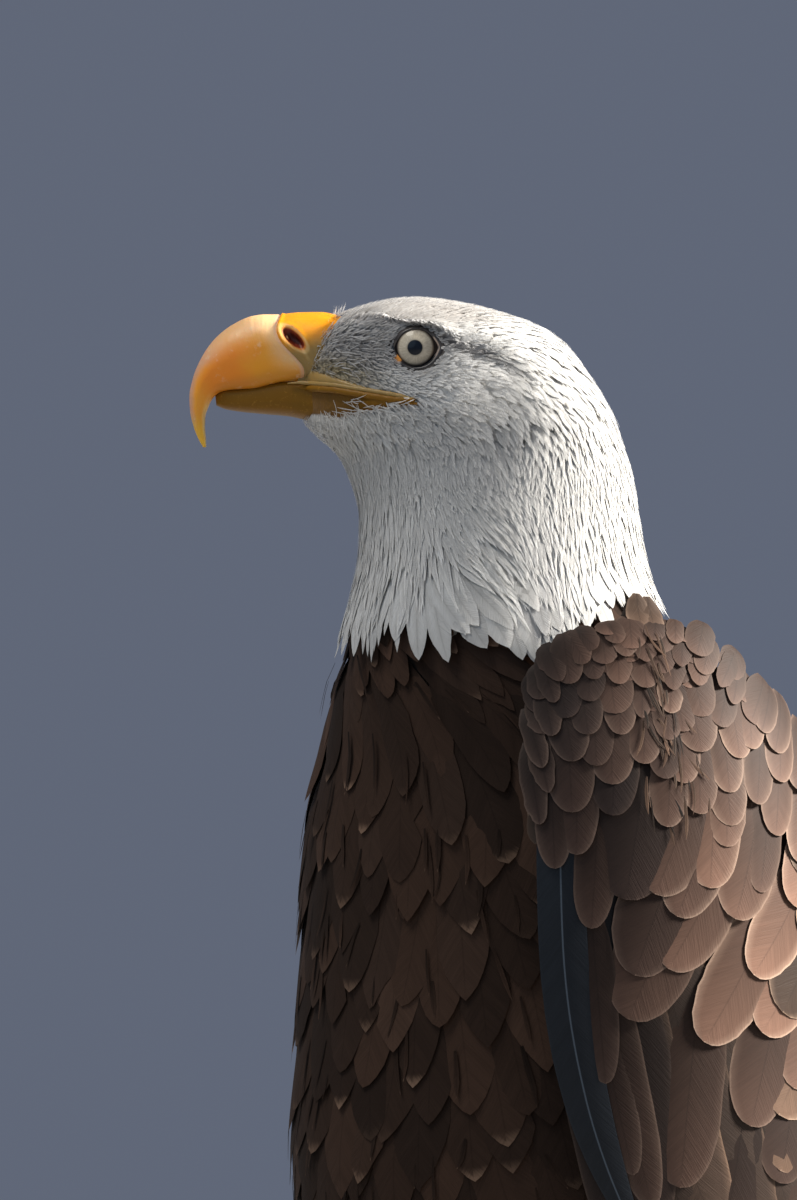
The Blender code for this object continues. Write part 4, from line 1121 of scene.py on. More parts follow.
def lid_material():
    made, tree, bsdf = nodes_of("lid_look")
    place = node(tree, "ShaderNodeAttribute", attribute_name="Place").outputs["Vector"]
    xyz = tree.nodes.new("ShaderNodeSeparateXYZ")
    tree.links.new(place, xyz.inputs[0])
    r, x, y = xyz.outputs
    where = tree.nodes.new("ShaderNodeTexCoord").outputs["Object"]
    cloud = noise(tree, where, 500, 3, 0.6)
    colour = mixed(tree, ramp(tree, cloud, 0.35, 0.65), (0.020, 0.016, 0.016), (0.060, 0.048, 0.042))
    colour = mixed(tree, ramp(tree, maths(tree, "ADD", r, cloud), 2.2, 2.7), colour, (0.10, 0.09, 0.085))
    # the caruncle at the front corner
    nook = maths(tree, "ADD", maths(tree, "ABSOLUTE", maths(tree, "SUBTRACT", x, 6.0)), maths(tree, "ABSOLUTE", maths(tree, "ADD", y, 3.8)))
    colour = mixed(tree, ramp(tree, nook, 2.2, 0.9), colour, (0.86, 0.34, 0.06))
    # painted highlight: the glint on the wet edge at the rear corner, as a pale streak
    wet_glint = maths(tree, "MULTIPLY", maths(tree, "MULTIPLY", ramp(tree, r, 0.12, 0.32), ramp(tree, r, 1.05, 0.75)), maths(tree, "MULTIPLY", ramp(tree, x, -5.4, -6.3), ramp(tree, maths(tree, "ABSOLUTE", y), 4.6, 3.0)))
    colour = mixed(tree, maths(tree, "MULTIPLY", wet_glint, 0.85), colour, (0.88, 0.66, 0.52))
    tree.links.new(colour, bsdf.inputs["Base Color"])
    bsdf.inputs["Roughness"].default_value = 0.33
    bsdf.inputs["Coat Weight"].default_value = 0.25
    bsdf.inputs["Coat Roughness"].default_value = 0.15
    bump(tree, bsdf, cloud, 0.5, 0.0003)
    return made


EYE_LOOK, LID_LOOK = eye_material(), lid_material()
OPEN_A, OPEN_B = 6.75, 6.45          # half width and half height of the eye's opening
for side, label in ((1, "left"), (-1, "right")):
    # the ball, its pole looking out sideways and a little ahead, with the cornea's bulge
    polar = np.concatenate([np.linspace(0.0, 52, 40), np.linspace(56, 100, 8)])
    rings = []
    th = np.linspace(0, 2 * np.pi, 64, endpoint=False)
    local = []
    for deg in polar[1:]:
        p = math.radians(deg)
        r = EYE_R * math.sin(p)
        bulge = 0.55 * max(0.0, 1 - (r / 6.4) ** 2)
        out = EYE_R * math.cos(p) + bulge
        local.append(np.stack([r * np.cos(th), r * np.sin(th), np.full(64, out)], -1))
    local = np.array(local)
    turn = math.radians(4.0)
    ahead = -0.6 + local[..., 0] * math.cos(turn) + local[..., 2] * math.sin(turn)
    outward = EYE_SIDE + local[..., 2] * math.cos(turn) - local[..., 0] * math.sin(turn)
    ball = grid_mesh("eye_" + label + "_ball", on_head(ahead, local[..., 1], side * outward))
    a, b, l = from_head(points_of(ball.data))
    dx = (a + 0.6) * math.cos(turn) - (np.abs(l) - EYE_SIDE) * math.sin(turn)
    rr = np.hypot(dx, b)
    rr = np.where((a + 0.6) * math.sin(turn) + (np.abs(l) - EYE_SIDE) * math.cos(turn) < 0, 20 - rr, rr)
    paint(ball.data, "Place", np.stack([rr, dx, b], -1))
    own_uv(ball, 0.5 + 0.045 * dx, 0.5 + 0.045 * b)
    ball.data.materials.append(EYE_LOOK)
    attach(ball, "root")
    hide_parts("eye_" + label)
    # the lids: a wet rim on the ball that rolls out to the skin, hooded above by the brow
    th = np.linspace(0, 2 * np.pi, 96, endpoint=False)
    rows, marks = [], []
    for k, (grow, lift, mark) in enumerate(((-0.30, -0.10, 0.0), (-0.05, 0.35, 0.35), (0.25, 0.66, 0.7), (0.60, 0.60, 1.0), (1.0, 0.50, 1.3), (1.5, 0.30, 1.6), (1.95, -0.05, 2.0), (2.7, -0.8, 2.6))):
        aa, bb = OPEN_A + grow * (1.0 if grow < 0 else 0.95), OPEN_B + grow * (0.92 if grow < 0 else 0.62)
        x, y = aa * np.cos(th), bb * np.sin(th)
        # drawn to a point in front and behind, flatter above
        x = x + 0.65 * np.exp(-((np.abs(th - np.pi) / 0.35) ** 2)) * -1 + 0.75 * np.exp(-(((np.minimum(th, 2 * np.pi - th)) / 0.35) ** 2))
        y = np.where(y > 0, y * 0.97, y)
        d = np.hypot(x, y)
        on_ball = EYE_SIDE + np.sqrt(np.maximum(EYE_R**2 - d**2, 4.0)) + 0.42 * np.maximum(0, 1 - (d / 6.4) ** 2)
        skin_at = side_of(x - 0.3, y) - 1.15
        mix_in = step(0.8, 3.0, grow)
        height = on_ball * (1 - mix_in) + np.maximum(skin_at, EYE_SIDE + 2) * mix_in + lift
        if grow > 0.5:
            height = np.maximum(height, skin_at + lift)
        rows.append(on_head(x - 0.3, y, side * height))
        marks.append(np.stack([np.full(96, mark), x, y], -1))
    rows, marks = np.array(rows), np.array(marks)
    lid = grid_mesh("lids_" + label, rows, closed_ends=False)
    place_marks(lid, rows, marks)
    a, b, l = from_head(points_of(lid.data))
    own_uv(lid, 0.5 + 0.035 * a, 0.5 + 0.035 * b)
    lid.data.materials.append(LID_LOOK)
    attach(lid, "root")


# ---------------------------------------------------- white plumage of the head
def outline_tree(low_z):
    """A dense shell of the body's outline, to lay the small feathers on."""
    zs = np.concatenate([[740.15, 740.0], np.linspace(739.8, 737.5, 10), np.arange(736.8, 690, -0.9), np.arange(689, low_z, -2.2)])
    th = np.linspace(0, 2 * np.pi, 240, endpoint=False)
    gz, gp = np.meshgrid(zs, th, indexing="ij")
    pts = body(gz, gp)
    k, m = gz.shape
    i = np.arange(k - 1)[:, None] * m
    j = np.arange(m)[None, :]
    quads = np.stack([i + j, i + m + j, i + m + (j + 1) % m, i + (j + 1) % m], -1).reshape(-1, 4)
    flat = pts.reshape(-1, 3)
    faces = [tuple(q) for q in quads.tolist()] + [tuple(range(m))]
    return flat, quads, BVHTree.FromPolygons([tuple(p) for p in flat.tolist()], faces)


shell_points, shell_quads, SHELL = outline_tree(585.0)


def nearest(points):
    """Closest places on the outline shell and the way out there."""
    flat = points.reshape(-1, 3)
    at, way = np.empty_like(flat), np.empty_like(flat)
    for i, p in enumerate(flat.tolist()):
        co, normal, _, _ = SHELL.find_nearest(p)
        at[i], way[i] = co, normal
    outward = np.stack([flat[:, 0] - HEAD_AXIS[0], flat[:, 1] + HEAD_AXIS[1], (flat[:, 2] - 690) * 0.5], -1)
    way *= np.where((way * outward).sum(-1) < 0, -1.0, 1.0)[:, None]
    return at.reshape(points.shape), way.reshape(points.shape)


AHEAD = np.array([HFX, HFY, 0.0])
DOWN = np.array([0.0, 0.0, -1.0])


def head_flow(p, normal):
    """The run of the plumage: straight back over the crown and face, turning down over cheek, throat and neck."""
    a, u, _ = from_head(p)
    droop = 9 + 16 * step(2, -18, u) + 50 * step(-16, -44, u) + 6 * step(-44, -62, u)
    droop = droop + 22 * step(-22, -42, a) * step(14, -6, u)
    # round the eye the feathers part and close again behind it
    part = np.exp(-(((a - 9) / 9.0) ** 2)) * np.exp(-((u / 9.0) ** 2))
    droop = droop - part * 38 * np.clip(u / 6.0, -1, 1)
    close = np.exp(-(((a + 14) / 9.0) ** 2)) * np.exp(-(((u - 3) / 9.0) ** 2))
    droop = droop + close * 16 * np.clip(u / 6.0, -0.4, 1)
    # on the side of the neck it runs slantwise to the back
    droop = droop - 34 * np.exp(-(((a + 27) / 22.0) ** 2)) * step(-32, -62, u)
    droop = np.radians(droop)
    way = -AHEAD * np.cos(droop)[..., None] + DOWN * np.sin(droop)[..., None]
    way = way - normal * (way * normal).sum(-1, keepdims=True)
    return way / lengths(way)[..., None]


def eye_gap(p, grow=0.0):
    """How deep inside the eye's opening a place is: over 0 inside."""
    a, u, side = from_head(p)
    return np.where(np.abs(side) > 15, 1 - np.hypot((a + 0.3) / (8.0 + grow), u / (7.0 + grow)), -1)


CERE_LINE = edge_line([(11.6, 29.9), (7.6, 31.1), (3.8, 33.6), (0.7, 36.4), (-4.0, 37.6), (-7.5, 37.0), (-9.5, 33.0), (-24.0, 36.0), (-30.0, 40.0), (14.0, 29.0)])


def bare(p, grow=0.0):
    """True where the face carries no feathers: cere, gape and jaw skin."""
    a, u, side = from_head(p)
    mouth = (a > -0.5 - grow) & (u < WEDGE_TOP(a) + grow) & (u > JAW_LOW(a) - grow)
    front = (a > CERE_LINE(u) - grow) & (u > -23 - grow) & (u < 13.0)
    return (mouth & (np.abs(side) > 6)) | front


def face_tone(p, normal):
    """Albedo of the white plumage, with the grey lores, the dark line behind the eye and faint streaks."""
    a, u, side = from_head(p)
    n = len(p)
    tone = np.tile([0.86, 0.845, 0.815], (n, 1))
    # the crown is painted a little darker, a painted shade over the top of the head, and streaked
    crown = step(6, 11, u) * step(-36, -16, a) * uniform(n, 0.45, 1.0)
    tone = tone + (np.array([0.39, 0.35, 0.32]) - tone) * (crown * 0.88)[:, None]
    flank = np.abs(side) > 8
    lore = np.exp(-(((a - 21) / 12.5) ** 4)) * np.exp(-(((u + 0.5 + (a - 20) * 0.05) / 8.2) ** 4)) * flank
    tone = tone + (np.array([0.40, 0.375, 0.36]) - tone) * (lore * 0.92)[:, None]
    olive = np.exp(-(((a - 27) / 13) ** 2)) * np.exp(-(((u + 8.0 + (27 - a) * 0.22) / 4.4) ** 2)) * flank
    tone = tone + (np.array([0.40, 0.30, 0.12]) - tone) * (olive * 0.85)[:, None]
    close = np.exp(-((np.hypot((a + 0.3) / 9.6, u / 8.9)) ** 6)) * flank
    tone = tone + (np.array([0.24, 0.22, 0.22]) - tone) * (close * 0.72)[:, None]
    # shadowed skin under the brow and the dark line that runs back from the eye
    line_u = np.interp(-a, [9, 16, 21, 28, 36, 44], [2.5, 0.5, -1.2, -4.2, -9.5, -15.0])
    line = np.exp(-(((u - line_u) / np.interp(-a, [8, 14, 24, 38], [3.6, 3.2, 1.9, 1.5])) ** 2)) * step(-7, -11, a) * step(-36, -20, a) * flank
    tone = tone + (np.array([0.17, 0.16, 0.165]) - tone) * (line * 0.92)[:, None]
    front_brow = np.exp(-(((a - 13) / 9) ** 2)) * np.exp(-(((u - 9.2) / 2.0) ** 2)) * flank
    tone = tone + (np.array([0.34, 0.31, 0.31]) - tone) * (front_brow * 0.7)[:, None]
    # greyer feather bases show through in streaks over cheek and neck
    for ca, cu, sa, su, amount in ((-27, -29, 9, 4.5, 0.42), (-18, -38, 7, 7, 0.20), (-10, -30, 10, 3.0, 0.22), (-38, -60, 7, 10, 0.40), (-34, -74, 6, 9, 0.38), (-22, -55, 8, 8, 0.18), (-45, -50, 5, 9, 0.20)):
        spot = np.exp(-(((a - ca) / sa) ** 2 + ((u - cu) / su) ** 2)) * (side > 5)
        tone = tone + (np.array([0.44, 0.43, 0.44]) - tone) * (spot * amount * uniform(n, 0.2, 1.7)).clip(0, 0.9)[:, None]
    return tone * (1 + RNG.normal(size=(n, 1)) * 0.04)


def scatter(points, quads, spacing, allowed, tries, low=0.0):
    """Roots spread over a shell, no two closer than the spacing there."""
    corner = points[quads]
    size = 0.5 * (lengths(np.cross(corner[:, 1] - corner[:, 0], corner[:, 2] - corner[:, 0])) + lengths(np.cross(corner[:, 2] - corner[:, 0], corner[:, 3] - corner[:, 0])))
    centre = corner.mean(1)
    gap = spacing(centre)
    weight = size / gap**2
    pick = RNG.choice(len(quads), tries, p=weight / weight.sum())
    r1, r2 = RNG.random(tries)[:, None], RNG.random(tries)[:, None]
    c = corner[pick]
    p = (c[:, 0] * (1 - r1) + c[:, 1] * r1) * (1 - r2) + (c[:, 3] * (1 - r1) + c[:, 2] * r1) * r2
    p = p[allowed(p)]
    gap = spacing(p)
    kept, cells, cell = [], {}, float(gap.max())
    keys = np.floor(p / cell).astype(int)
    rows = p.tolist()
    gaps = gap.tolist()
    offsets = [(i, j, k) for i in (-1, 0, 1) for j in (-1, 0, 1) for k in (-1, 0, 1)]
    for index, (x, y, z) in enumerate(rows):
        kx, ky, kz = keys[index]
        g = gaps[index]
        clear = True
        for i, j, k in offsets:
            for other in cells.get((kx + i, ky + j, kz + k), ()):
                ox, oy, oz = rows[other]
                if (x - ox) ** 2 + (y - oy) ** 2 + (z - oz) ** 2 < (0.5 * (g + gaps[other])) ** 2:
                    clear = False
                    break
            if not clear:
                break
        if clear:
            kept.append(index)
            cells.setdefault((kx, ky, kz), []).append(index)
    return p[kept]


def lay_tufts(coat, roots, length, half, tone, blades=4, rows=5, sink=2.0, lift=0.4, rise=0.8, yaw=0.10, fan=0.16, spread=1.0, slim=1.25, thick=0.22, ridge=0.30, tip=0.8, avoid=True, wild=0.0, shade_root=0.62, curl=0.0, pale=0.0, broad=False, frayed=0.0, camber=0.0, uneven=0.80):
    """Tufts on the head and neck: each is a few thin blades from one root, that part and close again towards the tip."""
    n = len(roots)
    put = lambda x: np.broadcast_to(np.asarray(x, float), (n,)).copy()
    length, half, sink, lift, wild = map(put, (length, half, sink, lift, wild))
    steps = rows + 1
    at, normal = nearest(roots)
    turn = RNG.normal(size=n) * yaw
    path, out, ways = [at], [normal], []
    for k in range(steps):
        way = head_flow(path[-1], out[-1])
        side = np.cross(out[-1], way)
        bent = turn + curl * (k / steps)
        way = way * np.cos(bent)[:, None] + side * np.sin(bent)[:, None]
        ways.append(way)
        at, normal = nearest(path[-1] + way * (length * 1.12 / steps)[:, None])
        path.append(at)
        out.append(normal)
    ways.append(ways[-1])
    path, out, ways = np.stack(path, 1), np.stack(out, 1), np.stack(ways, 1)
    keep = np.ones(n, bool)
    if avoid:
        inside = (eye_gap(path, -0.35) > 0)
        inside[:, 1:] |= bare(path[:, 1:].reshape(-1, 3), -0.9).reshape(n, -1) & (from_head(path[:, 1:])[0] < 45)
        first = np.where(inside.any(1), inside.argmax(1), steps + 1) / steps
        share = np.clip(first * 1.12 - 0.10, 0, 1)
        keep = share > 0.30
        length = length * share
    grid_t = np.linspace(0, 1.12, steps + 1)
    t = stations(rows, 1.2)
    along_scale = (length / np.maximum(lengths(path[:, 1] - path[:, 0]) * steps / 1.12, 1e-3))
    lanes = np.linspace(-1, 1, blades) if blades > 1 else np.zeros(1)
    s_top, s_under = (np.array([-1.0, -0.5, 0, 0.5, 1]), np.array([-1.0, 0, 1])) if broad else (np.array([-1.0, 0, 1]), np.array([-1.0, 1]))
    width_each = half * (1.0 / blades) * slim
    spots = coat.places(np.arctan2(roots[:, 0] - HEAD_AXIS[0], -(roots[:, 1] + HEAD_AXIS[1])), roots[:, 2])
    for lane in lanes:
        reach = uniform(n, uneven, 1.06) * (1 - 0.16 * abs(lane))
        own = RNG.normal(size=n) * fan * 0.5
        where = np.clip(t[None, :] * (reach * np.minimum(along_scale, 1.0))[:, None] / 1.12 * steps, 0, steps - 1e-4)
        i = where.astype(int)
        frac = (where - i)[..., None]
        pick = lambda a: np.take_along_axis(a, i[..., None], 1) * (1 - frac) + np.take_along_axis(a, (i + 1)[..., None], 1) * frac
        p, nn, ww = pick(path), pick(out), pick(ways)
        nn /= lengths(nn)[..., None]
        side = np.cross(nn, ww)
        side /= lengths(side)[..., None]
        open_at = np.sin(np.clip(t / 0.55, 0, 1) * np.pi / 2) * (1 - 0.42 * step(0.55, 1.0, t)) * spread
        off = (lane * half)[:, None] * (0.25 + 0.75 * open_at)[None, :] + own[:, None] * length[:, None] * t[None, :] ** 1.5
        w = width_each[:, None] * outline(t, np.full(1, tip)[:, None], 0.30, 0.5)[0][None, :] if np.ndim(tip) == 0 else width_each[:, None] * outline(t[None, :], np.asarray(tip)[:, None], 0.30, 0.5)
        if frayed:
            w = w * (1 + frayed * RNG.normal(size=w.shape) * (t > 0.3)[None, :])
        level = -sink[:, None] + (sink + lift)[:, None] * t[None, :] ** rise + RNG.normal(size=n)[:, None] * 0.10 * t[None, :] + wild[:, None] * RNG.random(n)[:, None] * t[None, :] ** 2.2
        level = level - 0.25 * abs(lane) * half[:, None] * 0.35
        grids = []
        for ss, under in ((s_top, False), (s_under, True)):
            x = off[:, :, None] + w[:, :, None] * ss[None, None, :]
            up = level[:, :, None] - camber * w[:, :, None] * ss[None, None, :] ** 2 + (ridge * w[:, :, None] * (1 - ss[None, None, :] ** 2) if not under else -thick * np.sin(np.pi * t)[None, :, None] ** 0.5 * w[:, :, None] * 0)
            grids.append(p[:, :, None, :] + side[:, :, None, :] * x[..., None] + nn[:, :, None, :] * up[..., None])
        shade = tone * (1 + RNG.normal(size=(n, 1)) * 0.05)
        shade = shade[:, None, :] * (shade_root + (1 - shade_root) * np.clip(t / 0.55, 0, 1) ** 0.8)[None, :, None]
        g0, g1 = grids[0][keep], grids[1][keep]
        coat.add(g0, g1, s_top, s_under, t, w[keep], length[keep], shade[keep], np.clip(tone * 1.12, 0, 1)[keep], np.full(n, pale)[keep], spots[keep], flip=False, way_out=nn[keep][:, :, None, :])


def lie(p):
    """(length, half width, spacing) of the head's feathers at a place."""
    a, u, side = from_head(p)
    from_eye = np.hypot((a + 0.3), u * 1.15)
    from_bill = np.hypot(np.maximum(30 - a, 0), 0.6 * np.minimum(np.abs(u + 6), 30))
    near = np.minimum(from_eye - 7.5, np.where(np.abs(side) > 4, (30 - a) * 0.85 + 3, (30 - a) * 0.7 + 5))
    near = np.clip(near, 0, 60)
    length = np.interp(near, [0, 4, 10, 22, 40, 60], [2.4, 3.2, 5.0, 9.0, 13.0, 16.0])
    # shorter on the crown than on cheek and nape
    crown = step(6, 13, u) * step(-34, -20, a)
    length = length * (1 - 0.25 * crown)
    chin = step(-20, -26, u) * step(2, 14, a)
    length = np.where(chin > 0, np.minimum(length, 5 + 9 * (1 - chin) + np.clip((30 - a) * 0.25, 0, 6)), length)
    half = length * np.interp(length, [2.4, 5, 9, 16], [0.20, 0.19, 0.185, 0.17])
    return length, half * 0.84, np.sqrt(length * half) * np.interp(length, [2.4, 5, 16], [0.72, 0.57, 0.42])


def on_the_head(p):
    return (p[:, 2] > 676) & ~(bare(p) | (eye_gap(p, 0.15) > 0)) & ~((from_head(p)[0] > 24) & (np.abs(from_head(p)[2]) < 11) & (from_head(p)[1] < 10) & (from_head(p)[1] > -20))


roots = scatter(shell_points, shell_quads, lambda p: lie(p)[2] * 1.0, on_the_head, 30000)
length, half, _ = lie(roots)
at, way_out = nearest(roots)
tone = face_tone(roots, way_out)
print("head tufts", len(roots))
face = length < 6.2
head_face = Coat("face_plumage", WHITE, "white_plumage", 660.0, 741.0, soft=0.68)
head_back = Coat("head_plumage", WHITE, "white_plumage", 660.0, 741.0, soft=0.88)
deep = coat_depth(roots[:, 2], from_head(roots)[0])
lay_tufts(head_face, roots[face], length[face] * uniform(face.sum(), 0.8, 1.2), half[face], tone[face], blades=3, rows=3, sink=np.minimum(deep[face], 0.22 * length[face]), lift=0.20, yaw=0.12, fan=0.16, wild=0.16, slim=1.25, ridge=0.15, tip=0.9, shade_root=0.90, uneven=0.70)
rest = ~face
lay_tufts(head_back, roots[rest], length[rest] * uniform(rest.sum(), 0.85, 1.2), half[rest], tone[rest], blades=4, rows=5, sink=np.minimum(deep[rest], 0.2 * length[rest]), lift=0.12, rise=0.45, yaw=0.08, fan=0.08, wild=0.10, slim=1.5, ridge=0.05, tip=0.9, shade_root=0.98, uneven=0.55)
# bristles on the lores and short upright ones at the forehead's edge
lore_at = []
for side in (1, -1):
    for _ in range(150):
        a, u = RNG.uniform(12, 37), RNG.uniform(-8.5, 8.0)
        if a < CERE_LINE(u) - 0.5 and u > WEDGE_TOP(a) + 0.6:
            lore_at.append(on_head(a, u, side * float(side_of(a, u))))
lore_at = np.array(lore_at)
n = len(lore_at)
lay_tufts(head_face, lore_at, uniform(n, 4.0, 8.0), np.full(n, 0.30), np.tile([0.62, 0.60, 0.58], (n, 1)) * uniform(n, 0.35, 1.15)[:, None], blades=1, rows=4, sink=0.4, lift=0.9, yaw=0.30, fan=0.1, slim=0.55, wild=1.0, shade_root=0.8)
gape_at = np.array([on_head(a, float(JAW_LOW(a)) + 0.6 + RNG.normal() * 1.2, side * (0.6 + float(side_of(a, float(JAW_LOW(a)))))) for side in (1, -1) for a in RNG.uniform(4, 34, 110)])
n = len(gape_at)
lay_tufts(head_face, gape_at, uniform(n, 4.0, 8.5), np.full(n, 0.30), np.tile([0.84, 0.82, 0.78], (n, 1)) * uniform(n, 0.8, 1.1)[:, None], blades=1, rows=4, sink=0.1, lift=1.3, yaw=0.40, fan=0.2, slim=0.6, wild=0.9, shade_root=0.9, avoid=False)
wisp_at = np.array([on_head(a, u, side * (0.4 + max(float(side_of(a, u)), float(np.interp(a, *JAW_HALF)) - 1.2))) for side in (1, -1) for a, u in zip(RNG.uniform(13, 28, 26), RNG.uniform(-23.5, -17.0, 26))])
n = len(wisp_at)
lay_tufts(head_face, wisp_at, uniform(n, 4.5, 9.0), np.full(n, 0.24), np.tile([0.84, 0.82, 0.78], (n, 1)) * uniform(n, 0.7, 1.1)[:, None], blades=1, rows=6, sink=-0.3, lift=1.5, yaw=0.45, fan=0.2, slim=0.6, wild=0.8, curl=jitter(n, 0.9), shade_root=0.9, avoid=False)
brow_at = np.array([on_head(a, 12.2 + RNG.normal() * 0.5, side) for a, side in zip(RNG.uniform(25, 31, 30), RNG.uniform(-9, 9, 30))])
n = len(brow_at)
lay_tufts(head_face, brow_at, uniform(n, 2.4, 4.2), np.full(n, 0.17), np.tile([0.70, 0.68, 0.64], (n, 1)) * uniform(n, 0.4, 1.0)[:, None], blades=1, rows=3, sink=0.4, lift=1.4, yaw=0.5, fan=0.2, slim=0.6, wild=2.2, shade_root=0.9, avoid=False)
head_face.make()
head_back.make(["head"])

# neck hackles: long pointed feathers that hang over one another and end in a ragged collar
def collar(phi):
    """Height where the white ends, by the angle round the body."""
    deg = np.degrees(np.arctan2(np.sin(phi), np.cos(phi)))
    plain = np.interp(deg, [-180, -130, -70, -40, -20, 0, 21, 41, 50, 60, 70, 76, 82, 95, 130, 180], [626, 628, 621, 615, 619, 620, 619, 617.5, 617, 617, 617, 621, 629, 633, 630, 626])
    scallop = 3.2 * np.sin(deg / 7.3 + 1.1 * np.sin(deg / 31)) + 2.0 * np.sin(deg / 3.9 + 2.0)
    return plain + scallop * np.interp(np.abs(deg - 5), [26, 40], [1.0, 0.35])


def hackle_size(p):
    u = np.clip((692 - p[:, 2]) / 60.0, 0, 1)
    length = 17 + 27 * u
    half = 2.2 + 2.0 * u
    return length, half, np.sqrt(length * half) * (0.30 + 0.06 * u)


def turn_of(p):
    return np.arctan2(p[..., 0], -(p[..., 1] + 14))


def on_the_neck(p):
    length, _, _ = hackle_size(p)
    return (p[:, 2] < 692) & (p[:, 2] - length * 0.92 > collar(turn_of(p)) - 7) & ~bare(p, 1.0)


neck = Coat("neck_plumage", WHITE, "white_plumage", 590.0, 700.0, soft=0.92)
fringe = Coat("collar_plumage", WHITE, "white_plumage", 590.0, 700.0, soft=0.84)
roots = scatter(shell_points, shell_quads, lambda p: hackle_size(p)[2] * 1.0, on_the_neck, 14000)
length, half, _ = hackle_size(roots)
at, way_out = nearest(roots)
tone = face_tone(roots, way_out)
length = length * uniform(len(roots), 0.85, 1.1)
ahead, up, _ = from_head(roots)
aslant = 1 + 0.22 * np.exp(-(((ahead + 27) / 22.0) ** 2)) * step(-32, -62, up)
length = np.minimum(length * aslant, (roots[:, 2] - collar(turn_of(roots)) + RNG.normal(size=len(roots)).clip(-1.5, 1.2) * 1.6 + 1) * aslant)
keep = length > 9
roots, length, half, tone = roots[keep], length[keep], half[keep], tone[keep]
print("neck hackles", len(roots))
half = half * uniform(len(roots), 0.75, 1.15)
deep = np.interp(roots[:, 2], [620, 660, 692], [3.0, 2.6, 2.0])
last = roots[:, 2] - length * 0.95 < collar(turn_of(roots)) + 4.5
some = RNG.random(len(roots)) < 0.40
# painted shade: collar feathers on the side of the neck are made darker, as shade there
tone[last] *= (1 - 0.22 * np.exp(-(((ahead[keep][last] + 27) / 24.0) ** 2)))[:, None]
print("of them in the collar", last.sum())
lay_tufts(neck, roots[~last], length[~last] * 1.05, half[~last] * 0.92, tone[~last], blades=5, rows=6, sink=deep[~last], lift=0.15, rise=0.38, yaw=0.09, fan=0.07, wild=0.14, slim=1.5, ridge=0.05, tip=0.95, shade_root=0.98, uneven=0.50)
pick = last & ~some
lay_tufts(fringe, roots[pick], length[pick], half[pick] * 1.22, tone[pick], blades=1, rows=11, sink=deep[pick], lift=0.4, rise=0.5, yaw=0.10, fan=0.0, wild=0.4, slim=1.0, ridge=0.0, camber=0.07, tip=0.78, shade_root=0.95, broad=True, frayed=0.05)
pick = last & some
lay_tufts(fringe, roots[pick], length[pick], half[pick], tone[pick], blades=4, rows=7, sink=deep[pick], lift=0.4, yaw=0.12, fan=0.05, wild=0.4, slim=1.75, ridge=0.06, tip=0.65, shade_root=0.95, uneven=0.74)
neck.make(["neck"])
fringe.make(["neck"])


# ----------------------------------------------------- brown plumage, the trunk
def across_view(p):
    """How far a place lies to the side, looking at the bird's left shoulder from 50 degrees off its front."""
    return p[..., 0] * math.cos(math.radians(50)) + p[..., 1] * math.sin(math.radians(50))


def row_angles(sheet, z, lo, hi, pitch, shift=0.0):
    """Angles across a row, evenly spaced along the sheet."""
    phis = np.linspace(lo, hi, 160)
    pts = sheet(np.full(160, z), phis)
    arc = np.concatenate([[0], np.cumsum(lengths(np.diff(pts, axis=0)))])
    count = max(1, int(round(arc[-1] / pitch)))
    at = (np.arange(count + 1) + shift) / count * arc[-1]
    return np.interp(at[at <= arc[-1] + 1e-6], arc, phis)


def brown(n, dark, light, low=0.0, high=1.0):
    mix = np.clip(uniform(n, low, high) ** 1.3, 0, 1)[:, None]
    return (np.array(dark) * (1 - mix) + np.array(light) * mix) * (1 + RNG.normal(size=(n, 1)) * 0.06)


DARK, MID, BUFF = (0.021, 0.0125, 0.009), (0.050, 0.028, 0.019), (0.30, 0.19, 0.13)
COARSE = 1.0


def trunk_gaps(z):
    """Angles the trunk's own feathers cover at a height: what the wings leave free, and a little under their edges."""
    spans = []
    if z > 634:
        return [(-math.pi, math.pi)]
    lead, rear, _ = wing_edges(z, False)
    lead_r, rear_r, _ = wing_edges(z, True)
    tuck = math.radians(np.interp(z, [560, 634], [11, 26]))
    return [(-float(lead_r) - tuck, float(lead) + tuck), (float(rear) - tuck, 2 * math.pi - float(rear_r) + tuck)]


trunk_rows, z, k = [], 656.0, 0
while z > 244:
    half = np.interp(z, [240, 400, 520, 600, 650], [9.0, 12.0, 10.8, 9.4, 6.8]) * COARSE
    show = half * 2.4
    trunk_rows.append((z, half, show, k % 2))
    z -= show * 0.60
    k += 1
rows = {"z": [], "phi": [], "half": [], "show": []}
for z, half, show, odd in reversed(trunk_rows):
    for lo, hi in trunk_gaps(z):
        phis = row_angles(body, z, lo, hi, half * 1.42, 0.5 * odd)
        rows["z"].append(z + jitter(len(phis), show * 0.13))
        rows["phi"].append(phis + jitter(len(phis), 0.10 * half / 85))
        rows["half"].append(np.full(len(phis), half))
        rows["show"].append(np.full(len(phis), show))
z, phi, half, show = (np.concatenate(rows[key]) for key in ("z", "phi", "half", "show"))
turn = np.arctan2(np.sin(phi), np.cos(phi))
size = uniform(len(z), 0.85, 1.15)
spot = body(z, phi)
white_vent = (spot[:, 1] > 78) & (z < 300)
tone = brown(len(z), DARK, MID)
back = np.abs(turn) > 1.6
tone[white_vent] = np.array([0.78, 0.76, 0.73]) * uniform(white_vent.sum(), 0.85, 1.03)[:, None]
rim = np.tile(BUFF, (len(z), 1)) * uniform(len(z), 0.7, 1.2)[:, None]
rim[white_vent] = (0.80, 0.79, 0.76)
pale = uniform(len(z), -0.55, 0.55).clip(0, 1) * np.where(back, 0.6, 1.0)
# some breast feathers are worn to a lighter brown
worn = RNG.random(len(z)) < 0.16
tone[worn & ~white_vent] *= uniform((worn & ~white_vent).sum(), 1.25, 1.8)[:, None]
